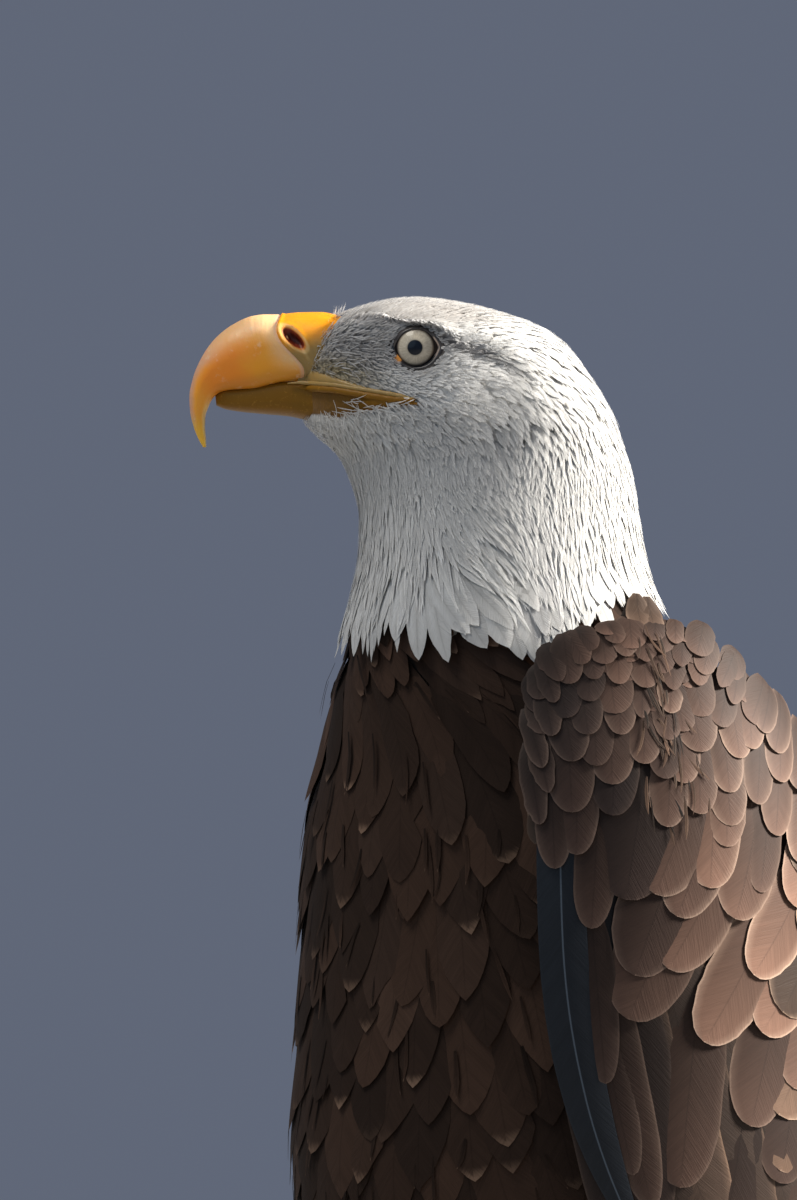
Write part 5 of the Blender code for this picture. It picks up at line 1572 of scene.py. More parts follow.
# a rufous patch between the collar and the shoulder, made light as a painted pool of light falling there
seen = across_view(spot)
rufous_lit_patch = (seen > -24) & (seen < 12) & (z > 617) & (z < 650) & (turn > 0.1) & (turn < 1.5)
tone[rufous_lit_patch] = np.array([0.170, 0.072, 0.036]) * uniform(rufous_lit_patch.sum(), 0.6, 1.1)[:, None]
slant = np.sign(turn) * np.radians(15) * step(math.radians(4), math.radians(42), np.abs(turn)) * step(1.9, 1.2, np.abs(turn)) + jitter(len(z), 0.07)
trunk = Coat("trunk_plumage", BROWN, "brown_plumage", 220.0, 662.0, soft=0.45)
lay_on_sheet(trunk, body, z, phi, slant, show * 2.1 * size, half * size, tone, rim, pale, tip=uniform(len(z), 0.60, 1.0), full=0.40, start=0.45, rows=9, height=-2.4 * step(606, 628, z),
             sink=4.0, lift=uniform(len(z), 0.0, 0.6), rise=0.62, camber=0.055, roll=jitter(len(z), 0.02), thick=0.35, ragged=0.035, curl=jitter(len(z), 0.08), splits=0.03, shading=(0.85, 1.12))
# loose ends: barbs that have parted from the breast feathers
n = int(130 / COARSE**2)
z = RNG.uniform(300, 625, n)
phi = RNG.uniform(-0.75, 0.85, n)
lay_on_sheet(trunk, body, z, phi, np.sign(phi) * 0.22 * step(0.1, 0.7, np.abs(phi)) + jitter(n, 0.10), uniform(n, 10, 22), uniform(n, 0.4, 1.1), brown(n, DARK, MID, 0.1), BUFF, uniform(n, 0, 0.5),
             tip=1.1, full=0.3, start=0.6, rows=4, sink=0.4, lift=uniform(n, 0.3, 1.0), camber=0.2, ragged=0.12, broad=False, curl=jitter(n, 0.2))
trunk.make(["trunk"])


# ----------------------------------------------------------------------- wings
def wing_rows(tucked):
    """Rows of coverts from the shoulder down: root height, half width, exposed length, and whether the row is odd."""
    made, z, k = [], 641.0, 0
    while z > 470:
        half = float(np.interp(z, [470, 530, 556, 585, 610, 641], [15.5, 14.8, 12.6, 9.2, 6.6, 4.4]))
        show = float(np.interp(z, [470, 530, 556, 585, 610, 641], [32.0, 28.0, 21.0, 14.0, 9.5, 6.6]))
        half, show = half * (COARSE if z > 560 else 1), show * (COARSE if z > 560 else 1)
        made.append((z, half, show, k % 2))
        z -= show * 0.78
        k += 1
    return made


def wing_slant(z, phi):
    fore = -np.radians(40) * step(math.radians(62), math.radians(112), phi) * step(430, 520, z)
    aft = np.radians(13) * step(470, 360, z)
    return fore + aft - np.radians(5) * step(560, 620, z)


def follow(tucked, v):
    """Keeps long feathers on lines of constant share between the wing's edges."""

    def bend(zs, ps, t):
        out = np.empty_like(ps)
        for i in range(len(ps)):
            lead, rear, _ = wing_edges(np.clip(zs[i], 84.5, 637), tucked)
            out[i] = lead + (rear - lead) * v[i]
        return out

    return bend


# the coverts that lie uppermost: how far across and how high the tip lies, half width, length, lean to the breast in
# degrees, lightness (painted light and shade), paleness of the margin
COVERTS = (
    (35.7, 425.5, 11.0, 92, 2, 0.10, 0.45), (59.5, 416.0, 13.0, 80, 12, 0.10, 0.50), (85.0, 428.9, 13.0, 66, 22, 0.14, 0.60), (27.2, 421.1, 8.0, 90, -6, 0.06, 0.35), (34.0, 439.1, 8.5, 84, -7, 0.14, 0.60),
    (44.5, 445.6, 12.5, 72, 8, 0.42, 0.65), (27.9, 450.0, 6.5, 66, -6, 0.10, 0.50), (77.9, 445.6, 13.0, 60, 20, 0.20, 0.60), (67.0, 465.6, 12.5, 60, 24, 0.42, 0.75), (92.5, 450.0, 13.0, 60, 30, 0.35, 0.70),
    (81.6, 477.5, 12.0, 56, 30, 0.55, 0.85), (95.2, 484.0, 12.0, 54, 36, 0.60, 0.85), (20.4, 480.6, 6.5, 60, -4, 0.08, 0.45), (26.5, 502.3, 14.0, 60, 30, 0.22, 0.70), (52.4, 493.8, 12.0, 56, 36, 0.85, 0.95),
    (72.4, 495.5, 12.5, 56, 42, 0.90, 0.95), (88.4, 504.4, 12.0, 52, 42, 0.85, 0.90), (27.9, 517.0, 13.5, 58, 26, 0.18, 0.70), (41.1, 518.0, 12.0, 54, 34, 0.70, 0.85), (69.0, 515.3, 11.0, 50, 42, 0.85, 0.85),
    (85.7, 527.8, 9.5, 46, 42, 0.85, 0.90), (100.0, 521.4, 12.0, 50, 42, 0.80, 0.90), (15.6, 531.9, 7.0, 40, 4, 0.16, 0.60), (43.2, 535.7, 10.8, 46, 28, 0.66, 0.95), (63.2, 534.0, 11.4, 46, 20, 0.72, 0.90),
    (82.3, 537.7, 10.0, 42, 34, 0.80, 0.85), (102.0, 541.8, 11.0, 44, 40, 0.80, 0.90), (26.5, 541.1, 14.2, 60, 10, 0.03, 0.35), (36.0, 543.1, 12.0, 50, 26, 0.52, 0.85), (53.4, 544.8, 10.8, 46, 12, 0.78, 1.00),
    (71.4, 542.5, 7.2, 40, 18, 0.45, 0.60), (83.6, 552.0, 8.5, 38, 30, 0.85, 0.90), (92.5, 556.1, 9.5, 40, 36, 0.80, 0.90), (2.7, 551.6, 6.2, 34, -2, 0.14, 0.75), (10.5, 556.1, 7.5, 40, 4, 0.16, 0.60),
    (59.8, 558.1, 7.8, 34, 8, 0.60, 0.80), (40.5, 564.9, 7.4, 38, 12, 0.50, 0.80), (75.5, 561.5, 7.5, 34, 22, 0.62, 0.70), (88.4, 569.0, 9.0, 36, 36, 0.75, 0.85), (61.2, 564.9, 8.0, 34, 4, 0.74, 0.95),
    (-2.0, 566.9, 4.6, 26, -8, 0.12, 0.70), (8.8, 570.0, 8.4, 36, -2, 0.16, 0.75), (21.8, 569.0, 8.5, 38, 6, 0.05, 0.40), (51.0, 569.0, 7.0, 32, 10, 0.60, 0.60), (77.5, 578.8, 7.2, 30, 24, 0.60, 0.80),
    (60.9, 575.8, 7.0, 30, 4, 0.76, 1.00), (83.6, 575.8, 7.5, 30, 34, 0.70, 0.80), (70.0, 571.7, 6.5, 30, 20, 0.60, 0.70), (0.7, 577.1, 4.6, 24, -8, 0.14, 0.70), (21.8, 579.2, 8.0, 32, 4, 0.30, 0.60),
    (39.1, 580.9, 6.5, 28, 12, 0.30, 0.50), (46.2, 579.2, 6.5, 28, 8, 0.50, 0.60), (8.5, 586.7, 7.2, 30, -4, 0.12, 0.60), (-1.0, 584.6, 3.8, 20, -12, 0.14, 0.70), (17.0, 585.3, 6.5, 28, 2, 0.06, 0.40),
    (31.6, 586.0, 6.4, 27, 10, 0.40, 0.60), (63.9, 587.0, 6.6, 26, 8, 0.72, 0.80), (67.7, 590.1, 6.4, 25, 22, 0.66, 0.90), (51.0, 589.4, 8.4, 32, 4, 0.62, 0.95), (76.2, 588.7, 6.6, 26, 36, 0.70, 0.80),
    (40.8, 593.5, 5.4, 23, 8, 0.45, 0.60), (2.4, 594.1, 4.4, 20, -10, 0.12, 0.70), (24.5, 595.5, 5.6, 24, 4, 0.40, 0.60), (13.9, 595.5, 6.4, 26, -2, 0.10, 0.50), (46.2, 596.2, 6.6, 26, 4, 0.58, 0.85),
    (59.5, 597.5, 5.6, 22, 16, 0.62, 0.70), (66.3, 598.9, 5.4, 22, 34, 0.66, 0.70), (71.7, 595.5, 5.4, 22, 40, 0.66, 0.70), (23.5, 602.3, 6.8, 26, 4, 0.56, 0.90), (5.8, 600.9, 6.0, 24, -6, 0.06, 0.60),
    (53.4, 600.9, 6.8, 25, 2, 0.60, 0.95), (1.7, 606.4, 4.2, 17, -14, 0.16, 0.60), (32.6, 601.6, 5.0, 20, 6, 0.40, 0.50), (42.5, 603.7, 4.6, 18, 4, 0.62, 0.85), (62.6, 605.0, 4.8, 18, 36, 0.62, 0.70),
    (14.6, 606.4, 5.2, 21, -2, 0.10, 0.40), (42.5, 610.5, 4.2, 16, 2, 0.60, 0.80), (50.7, 609.8, 4.2, 18, 10, 0.72, 0.70), (24.8, 612.2, 4.4, 17, 2, 0.58, 0.80), (34.3, 609.8, 4.6, 17, 4, 0.46, 0.50),
    (58.5, 611.1, 4.6, 17, 36, 0.66, 0.70), (8.8, 611.1, 4.8, 17, -12, 0.24, 0.50), (17.0, 613.9, 4.2, 16, -6, 0.28, 0.50), (5.4, 613.9, 3.8, 14, -18, 0.30, 0.50), (38.1, 615.2, 4.0, 15, 4, 0.50, 0.50),
    (53.7, 615.9, 4.2, 15, 34, 0.66, 0.70), (25.5, 620.0, 4.6, 15, 0, 0.62, 0.80), (32.6, 618.3, 4.2, 14, 4, 0.56, 0.60), (45.6, 617.3, 4.2, 15, 12, 0.62, 0.60), (20.4, 619.3, 3.8, 13, -10, 0.40, 0.60),
    (12.6, 617.9, 3.8, 13, -20, 0.42, 0.50), (40.1, 621.7, 4.2, 13, 6, 0.60, 0.50), (49.0, 621.3, 4.2, 13, 26, 0.66, 0.60), (17.0, 623.0, 3.4, 10, -26, 0.50, 0.50), (29.9, 623.4, 4.0, 11, 2, 0.60, 0.50),
    (35.4, 626.1, 3.8, 9, 6, 0.60, 0.50), (42.8, 625.4, 3.8, 10, 18, 0.62, 0.50), (23.8, 624.7, 3.6, 9, -14, 0.55, 0.50),
)
QUILL_LINE = np.array([(554.7, 5.4), (541.8, 5.8), (521.4, 6.5), (507.8, 7.5), (499.3, 9.2), (487.4, 11.2), (470.4, 15.0), (456.8, 19.0), (443.2, 24.5), (429.6, 30.6), (416.0, 37.4), (402.4, 43.5)])


def turn_at(z, across):
    """The angle on the left wing's sheet of the place that lies so far across at a height."""
    lead, rear, _ = wing_edges(np.clip(z, 85, 637), False)
    phis = np.linspace(float(lead) - 0.30, float(rear), 240)
    seen = across_view(wing_surface(False)(np.full(240, z), phis))
    far = int(seen.argmax())
    near = int(seen[: far + 1].argmin())
    return float(np.interp(across, seen[near : far + 1], phis[near : far + 1]))


def far_turn(z):
    """The angle on the left wing's sheet where its outline turns away."""
    lead, rear, _ = wing_edges(np.clip(z, 85, 637), False)
    phis = np.linspace(float(lead), float(rear), 160)
    seen = across_view(wing_surface(False)(np.full(160, z), phis))
    near = int(seen[: int(seen.argmax()) + 1].argmin())
    reach = min(float(seen.max()) - 0.3, 91.0)
    return float(phis[near + int((seen[near:] >= reach).argmax())])


def up_from(sheet, z, phi, slant, length):
    """The root of a feather whose tip lies at a place."""
    z, phi = np.array(z, float), np.array(phi, float)
    for _ in range(12):
        dz, dp = slopes(sheet, z, phi)
        z = z + length / 12 * np.cos(slant) / lengths(dz)
        phi = phi - length / 12 * np.sin(slant) / lengths(dp)
    return z, phi


def uppermost(coat, sheet, tucked):
    own = np.array(COVERTS)
    # a second layer under the topmost ones, so the shoulder's outline runs on unbroken
    under = own[own[:, 1] > 590]
    under = under + np.stack([0.70 * under[:, 2] * np.where(np.arange(len(under)) % 2, 1, -1), np.full(len(under), 1.6), 0.05 * under[:, 2], -0.30 * under[:, 3]] + [np.zeros(len(under))] * 2 + [-0.4 * under[:, 6]], -1)
    deeper = np.repeat([0.0, 1.0], [len(own), len(under)])
    tip_x, tip_z, half, length, lean, light, pale = np.concatenate([own, under]).T
    k = len(half)
    little = half < 5.2
    ridge = tip_z > 596
    half = half * (1 + jitter(k, 0.10) * little) * np.where(ridge, uniform(k, 0.90, 1.22), 1.0)
    lean = lean + jitter(k, 1.5) + jitter(k, 5.0) * little + jitter(k, 5.0) * ridge
    tip_x = tip_x + jitter(k, 0.9) * ridge
    # painted light and shade: lightness makes each feather a lit or a shaded copy of one brown; it is lowered higher up
    # the shoulder, and shaded feathers get fainter margins
    light = np.clip(light * uniform(k, 0.62, 1.12) + jitter(k, 0.05), 0.02, 1) * np.interp(tip_z, [500, 560, 605], [1.0, 0.84, 0.62])
    pale = np.clip(pale * uniform(k, 0.6, 1.1), 0, 1) * np.where(light < 0.3, 0.75, 1.0) * np.where(ridge, uniform(k, 0.3, 1.0), 1.0)
    tip_z = tip_z + jitter(k, 0.8) * little
    length = np.minimum(length * (1 + 0.10 * little), (640 - tip_z) * 1.02)
    at = np.array([turn_at(z, x) for z, x in zip(tip_z, tip_x)])
    lead, rear, _ = wing_edges(np.clip(tip_z, 85, 637), False)
    v = (at - lead) / (rear - lead)
    if tucked:
        lead, rear, _ = wing_edges(np.clip(tip_z, 85, 637), True)
        at = lead + (rear - lead) * v
        on = (v > 0.22) & (v < 0.76)
        tip_x, tip_z, at, half, length, lean, light, pale, deeper, ridge = (c[on] for c in (tip_x, tip_z, at, half, length, lean, light, pale, deeper, ridge))
    slant = -np.radians(lean)
    z, phi = up_from(sheet, tip_z, at, slant, length)
    if tucked:
        # none is rooted so far back that it stands out behind the back
        lead, rear, _ = wing_edges(np.clip(z, 85, 637), True)
        on = (phi - lead) / (rear - lead) < 0.88
        z, phi, slant, tip_x, tip_z, half, length, light, pale, deeper, ridge = (c[on] for c in (z, phi, slant, tip_x, tip_z, half, length, light, pale, deeper, ridge))
    n = len(z)
    light = light[:, None]
    # painted light and shade: tone and margin mix a shaded dark brown with a lit warm one by the lightness, and the
    # margins on the ridge are dimmed where the light grazes them
    tone = np.array([0.021, 0.014, 0.0125]) * (1 - light) + np.array([0.235, 0.129, 0.090]) * light
    rim = np.array([0.17, 0.115, 0.09]) * (1 - light) + np.array([0.62, 0.43, 0.32]) * light
    rim = rim * np.interp(tip_z, [596, 618], [1.0, 0.55])[:, None]
    sizes = half < 5.2
    for mask, rows, ragged in ((~sizes, 16, 0.010), (sizes, 12, 0.050)):
        lay_on_sheet(coat, sheet, z[mask], phi[mask], slant[mask], length[mask], half[mask], tone[mask], rim[mask], pale[mask], tip=np.where(half[mask] < 5.2, uniform(mask.sum(), 0.46, 0.66), 0.46), full=0.36, start=0.40, rows=rows,
                     sink=np.where(half[mask] < 5.2, 3.4, 2.4), lift=np.where(ridge[mask], 0.4, 0.7), rise=0.52, camber=0.07, roll=0.045, thick=0.45, ragged=ragged, curl=jitter(mask.sum(), 0.03) * np.where((half[mask] < 5.2) & (tip_x[mask] > 8), 3.0, 1.0), height=np.where(half[mask] < 5.2, 0.45, 0.35) - 0.85 * deeper[mask], shading=(0.42, 1.30), fade=2.6, mirror=tucked)


for tucked, label, share in ((False, "left", 1.0), (True, "right", 1.25)):
    sheet = wing_surface(tucked)
    coat = Coat("wing_" + label + "_coverts", WING_BROWN, "wing_plumage", 60.0, 660.0, soft=0.30)
    long = Coat("wing_" + label + "_quills", WING_BROWN, "wing_plumage", 60.0, 660.0, patch=0.028)
    flip = tucked
    # the deepest layer: primaries that reach the wing's tip
    v = np.linspace(0.10, 0.93, 11)
    n = len(v)
    tips = np.interp(v, [0, 0.25, 0.6, 1.0], [196, 138, 96, 86])
    top = np.full(n, 345.0)
    lay_on_sheet(long, sheet, top, np.full(n, 1.4), 0.0, top - tips, np.interp(v, [0, 1], [11.5, 13.5]) , brown(n, (0.018, 0.014, 0.013), (0.040, 0.028, 0.022)), (0.20, 0.14, 0.10), np.full(n, 0.14),
                 tip=0.62, full=0.2, start=0.9, rows=22, sink=4.5, lift=-0.6, rise=0.35, camber=0.035, roll=0.10, thick=0.6, ragged=0.018, bend=follow(tucked, v), mirror=flip)
    # secondaries over them
    v = np.linspace(0.12 if tucked else 0.11, 0.95, 13)
    n = len(v)
    tips = np.interp(v, [0, 0.3, 0.7, 1.0], [330, 262, 205, 178])
    top = np.full(n, 500.0)
    lay_on_sheet(long, sheet, top, np.full(n, 1.4), 0.0, top - tips, np.interp(v, [0, 1], [12.5, 15.0]), brown(n, (0.024, 0.018, 0.016), (0.056, 0.038, 0.029)), (0.26, 0.18, 0.13), np.full(n, 0.26),
                 tip=0.5, full=0.2, start=0.9, rows=22, sink=4.5, lift=0.0, rise=0.30, camber=0.035, roll=0.09, thick=0.6, ragged=0.018, bend=follow(tucked, v), mirror=flip)
    # the longest coverts
    for level, drop, count, half in ((545.0, 150.0, 11, 14.5), (520.0, 96.0, 12, 15.0)):
        v = np.linspace(0.14 if tucked else 0.13, 0.97, count) + (0.5 / count if drop < 120 else 0)
        v = np.clip(v, 0.03, 0.97)
        n = len(v)
        lay_on_sheet(long, sheet, np.full(n, level) + jitter(n, 3), np.full(n, 1.4), 0.0, np.full(n, drop) + jitter(n, 5), np.full(n, half), brown(n, (0.030, 0.020, 0.016), (0.072, 0.046, 0.034)), np.tile(BUFF, (n, 1)) * uniform(n, 0.8, 1.1)[:, None], uniform(n, 0.35, 0.7),
                     tip=0.47, full=0.25, start=0.8, rows=14, sink=4.0, lift=0.6, rise=0.4, camber=0.05, roll=0.05, thick=0.5, ragged=0.02, bend=follow(tucked, v), mirror=flip)
    # rows of scale-like coverts
    keep = {key: [] for key in ("z", "phi", "half", "show", "lead", "rear")}
    for z, half, show, odd in reversed(wing_rows(tucked)):
        lead, rear, _ = wing_edges(z, tucked)
        phis = row_angles(sheet, z, float(lead) + 0.03, float(rear) - 0.02, half * 1.60 * share, 0.5 * odd)
        keep["z"].append(z + jitter(len(phis), show * 0.12))
        keep["phi"].append(phis + jitter(len(phis), 0.10 * half / 100))
        for key, value in (("half", half), ("show", show), ("lead", float(lead)), ("rear", float(rear))):
            keep[key].append(np.full(len(phis), value))
    z, phi, half, show, lead, rear = (np.concatenate(keep[key]) for key in ("z", "phi", "half", "show", "lead", "rear"))
    n = len(z)
    size = uniform(n, 0.88, 1.14)
    share_at = (phi - lead) / (rear - lead)
    small = half < 9
    # painted shade: coverts towards the leading edge get a darker tone and dimmer margins, as the wing there lies in
    # shade
    tone = brown(n, (0.040, 0.025, 0.018), (0.125, 0.076, 0.052)) * (0.62 + 0.55 * step(0.05, 0.42, share_at))[:, None]
    rim = np.tile((0.40, 0.275, 0.20), (n, 1)) * (uniform(n, 0.7, 1.15) * (0.6 + 0.5 * step(0.05, 0.4, share_at)))[:, None]
    darker = np.interp(z, [440, 510], [0.50, 1.0])[:, None]
    tone, rim = tone * darker, rim * (0.25 + 0.75 * darker)
    pale = np.where(small, uniform(n, 0.25, 0.8), uniform(n, 0.5, 0.95))
    slant = wing_slant(z, phi) + jitter(n, 0.07)
    # room at the leading edge for the long quill, and for the uppermost coverts over all
    room = (z < 583) & (z > 415) & (phi < lead + 0.25) & (not tucked)
    far_at = np.array([far_turn(height) for height in z])
    open_lead, open_rear, _ = wing_edges(np.clip(z, 85, 637), False)
    far_at = (far_at - open_lead) / (open_rear - open_lead)
    lower = -np.interp(z, [440, 480, 560, 600, 630, 636], [0.0, 1.9, 2.2, 2.8, 2.4, 0.8]) * step(far_at + 0.05, far_at - 0.02, share_at) + 0.5 * step(far_at - 0.02, far_at + 0.05, share_at)
    kept = z < (624 if tucked else 650)
    # none stands out behind the back at the folded wing's rear edge
    room = room | ((z > 495) & (share_at > 0.84) & tucked)
    for mask, ragged, tip, splits, rows in ((small & ~room & kept, 0.05, 0.55, 0.0, 9), (~small & ~room, 0.012, 0.46, 0.0, 14)):
        if mask.any():
            lay_on_sheet(coat, sheet, z[mask], phi[mask], slant[mask], (show * 2.2 * size)[mask], (half * size)[mask], tone[mask], rim[mask], pale[mask], tip=tip, full=0.34, start=0.30 if rows == 9 else 0.55, rows=rows,
                         sink=4.2, lift=uniform(mask.sum(), 0.1, 1.0), rise=0.60, camber=0.085, roll=0.03 + jitter(mask.sum(), 0.02), ragged=ragged, curl=jitter(mask.sum(), 0.06), splits=splits, shading=(0.45, 1.30), fade=2.4, height=lower[mask], mirror=flip)
    uppermost(coat, sheet, tucked)
    # the leading edge: feathers that hang over it and turn in towards the breast
    z = np.arange(430 if tucked else 636, 150 if tucked else 578, -9.0 * COARSE)
    for inward, deeper in ((0.0, 2.5), (0.05, 4.5)):
        n = len(z)
        lead, rear, _ = wing_edges(np.clip(z, 85, 637), tucked)
        half = np.interp(z, [150, 400, 560, 600, 636], [7, 8.0, 7.0, 5.0, 3.6])
        lay_on_sheet(coat, sheet, z + jitter(n, 1.5), lead + 0.045 + inward * 0.5, np.interp(z, [150, 430, 560, 630], [0.22, 0.02, -0.16, -0.30]) + jitter(n, 0.08), half * 4.4 * uniform(n, 0.85, 1.15), half, brown(n, (0.024, 0.016, 0.012), (0.060, 0.038, 0.027)), np.tile(BUFF, (n, 1)) * 0.6, uniform(n, 0.1, 0.45),
                     tip=0.6, full=0.34, start=0.25, rows=8, sink=4.5, lift=0.2 - deeper * 0.3, rise=0.6, camber=0.14, roll=0.05 if tucked else 0.32, height=-1.2 if tucked else 0.0, ragged=0.04, mirror=flip)
    # loose barbs on the worn shoulder
    n = int(40 / COARSE**2 / share)
    z = 632 - 66 * RNG.random(n)
    lead, rear, _ = wing_edges(z, tucked)
    centre = np.array([turn_at(height, 38.0 + 0.10 * (600 - height)) for height in z])
    open_lead, open_rear, _ = wing_edges(z, False)
    phi = lead + (rear - lead) * ((centre - open_lead) / (open_rear - open_lead) + RNG.normal(size=n) * 0.06)
    lay_on_sheet(coat, sheet, z, phi, 0.10 + jitter(n, 0.20), uniform(n, 6, 15), uniform(n, 0.22, 0.60), np.where(RNG.random((n, 1)) < 0.55, brown(n, (0.007, 0.006, 0.006), (0.03, 0.019, 0.014)), brown(n, (0.05, 0.028, 0.018), (0.14, 0.078, 0.050))), BUFF, uniform(n, 0, 0.5),
                 tip=1.0, full=0.3, start=0.5, rows=7, sink=-0.5, lift=uniform(n, 0.9, 1.5), camber=0.2, ragged=0.12, broad=False, curl=jitter(n, 0.28), mirror=flip)
    if not tucked:
        # the long dark quill that shows along the leading edge, with its pale shaft; its bluish tint is a painted
        # sheen, and the near-black vane beside it is painted shade
        def along_quill(zs, ps, t):
            out = np.empty_like(ps)
            for i, aside in enumerate((-0.8, 11.0)):
                for k, height in enumerate(zs[i]):
                    line = np.interp(-(height + np.linspace(-18, 18, 9)), -QUILL_LINE[:, 0], QUILL_LINE[:, 1]).mean()
                    out[i, k] = turn_at(height, aside + float(line))
            return out

        leading = Coat("wing_" + label + "_dark_quill", QUILL_BROWN, "wing_plumage", 60.0, 660.0, patch=0.028)
        # painted sheen and shade: the quill is tinted bluish, and the vane beside it is near-black
        lay_on_sheet(leading, sheet, np.array([594.0, 586.0]), np.radians([50.0, 56.0]), 0.0, np.array([172.0, 168.0]), np.array([8.2, 7.5]), np.array([(0.012, 0.0145, 0.019), (0.009, 0.009, 0.010)]), (0.10, 0.125, 0.155), np.array([0.08, 0.02]),
                     tip=0.75, full=0.25, start=0.7, rows=40, sink=3.0, lift=np.array([2.3, 0.4]), rise=0.55, camber=0.12, roll=0.02, thick=0.6, ragged=0.004, bend=along_quill, shading=(1.0, 1.0))
        leading.make(["wing_" + label])
    coat.make(["wing_" + label])
    long.make(["wing_" + label])


# ---------------------------------------------------------------------- thighs
trousers = Coat("thigh_plumage", BROWN, "brown_plumage", 60.0, 420.0, soft=0.35)
for flip in (False, True):
    level, k = 388.0, 0
    keep = {key: [] for key in ("z", "phi", "half", "show")}
    while level > 92:
        half = float(np.interp(level, [92, 150, 250, 390], [2.6, 4.2, 6.6, 8.0])) * COARSE
        show = half * 2.0
        lo, hi = (-0.5, math.pi * 1.1) if level > 330 else (-math.pi, math.pi)
        phis = row_angles(thigh, level, lo, hi, half * 1.5, 0.5 * (k % 2))
        keep["z"].append(level + jitter(len(phis), show * 0.16))
        keep["phi"].append(phis + jitter(len(phis), 0.1))
        keep["half"].append(np.full(len(phis), half))
        keep["show"].append(np.full(len(phis), show))
        level -= show * 0.70
        k += 1
    z, phi, half, show = (np.concatenate(keep[key][::-1]) for key in ("z", "phi", "half", "show"))
    n = len(z)
    length = np.minimum(show * 2.3 * uniform(n, 0.85, 1.2), z - 74 + jitter(n, 2.0))
    lay_on_sheet(trousers, thigh, z, phi, jitter(n, 0.09), length, half * uniform(n, 0.85, 1.1), brown(n, DARK, MID), np.tile(BUFF, (n, 1)) * 0.8, uniform(n, 0.05, 0.45), tip=0.95, full=0.36, start=0.5, rows=7,
                 sink=4.0, lift=uniform(n, 0.2, 2.0), rise=0.7, camber=0.12, roll=jitter(n, 0.06), ragged=0.09, curl=jitter(n, 0.15), mirror=flip)
trousers.make(["thigh_left", "thigh_right"])


# ------------------------------------------------------------------------ tail
tail_coat = Coat("tail_plumage", WHITE, "white_plumage", 0.0, 280.0, patch=0.045)
small_tail = Coat("tail_coverts", WHITE, "white_plumage", 0.0, 280.0)


def lay_on_tail(coat, start, end, at_root, at_tip, half, level, tone, tip=0.5, rows=16, under_side=False, thick=0.7, pale=0.3, turned=0.0):
    """Vanes along the tail. level counts up from the tail's middle sheet."""
    n = len(start)
    t = stations(rows)
    s = start[:, None] + (end - start)[:, None] * t
    cols = np.array([-1, -0.5, 0, 0.5, 1.0])
    w = half[:, None] * outline(t, np.full(1, tip)[:, None], 0.2, 0.8)[0][None, :]
    mid = at_root[:, None] + (at_tip - at_root)[:, None] * t
    grids = []
    for ss, below in ((cols, False), (np.array([-1.0, 0, 1]), True)):
        across = mid[..., None] + w[..., None] * ss
        _, wide, body_thick, hollow = tail_rows(np.clip(s, 0, 258))
        lie_at = -hollow[..., None] * np.clip(across / wide[..., None], -1.25, 1.25) ** 2
        rise = lie_at + level[:, None, None] * (0.5 * body_thick)[..., None] + turned * w[..., None] * ss - 0.05 * w[..., None] * ss**2
        if below:
            rise = rise - thick * (1 - ss**2) * np.sin(np.pi * t)[None, :, None] ** 0.5
        grids.append(tail_point(s[..., None] + 0 * across, across, rise))
    z = np.full(n, 250.0) - start * 0.5
    spots = coat.places(np.pi + at_root / 40.0 * 1.4 + (0.7 if under_side else 0), z)
    coat.add(grids[0], grids[1], cols, np.array([-1.0, 0, 1]), t, w, np.broadcast_to((end - start)[:, None], (n, 1))[:, 0], tone, np.tile((0.82, 0.80, 0.77), (n, 1)), np.full(n, pale), spots)


n = 12
lane = (np.arange(n) - 5.5) / 5.5
order = np.argsort(-np.abs(lane))
lane = lane[order]
lay_on_tail(tail_coat, np.full(n, -4.0), 254.5 - 14 * np.abs(lane) ** 2.2 + uniform(n, -2.0, 1.5), lane * 17, lane * 41, np.full(n, 13.5), 0.55 - 0.75 * np.abs(lane), np.array([0.60, 0.588, 0.57]) * uniform(n, 0.88, 1.06)[:, None], tip=0.32, rows=26, turned=0.0)
for under_side, sign in ((False, 1), (True, -1)):
    for start, end, wide, count, half in ((-22, 96, 0.92, 9, 8.5), (-30, 66, 0.9, 9, 8.0), (-38, 36, 0.85, 8, 7.5)):
        lane = np.linspace(-1, 1, count)
        n = count
        w0 = 27.0
        lay_on_tail(small_tail, np.full(n, float(start)) + jitter(n, 2), np.full(n, float(end)) + jitter(n, 5) - 14 * np.abs(lane), lane * w0 * wide, lane * 33 * wide, np.full(n, half), np.full(n, sign * 1.02), np.array([0.62, 0.608, 0.59]) * uniform(n, 0.86, 1.06)[:, None], tip=0.55, rows=9, under_side=under_side, pale=0.2)
tail_coat.make(["tail"])
small_tail.make(["tail"])


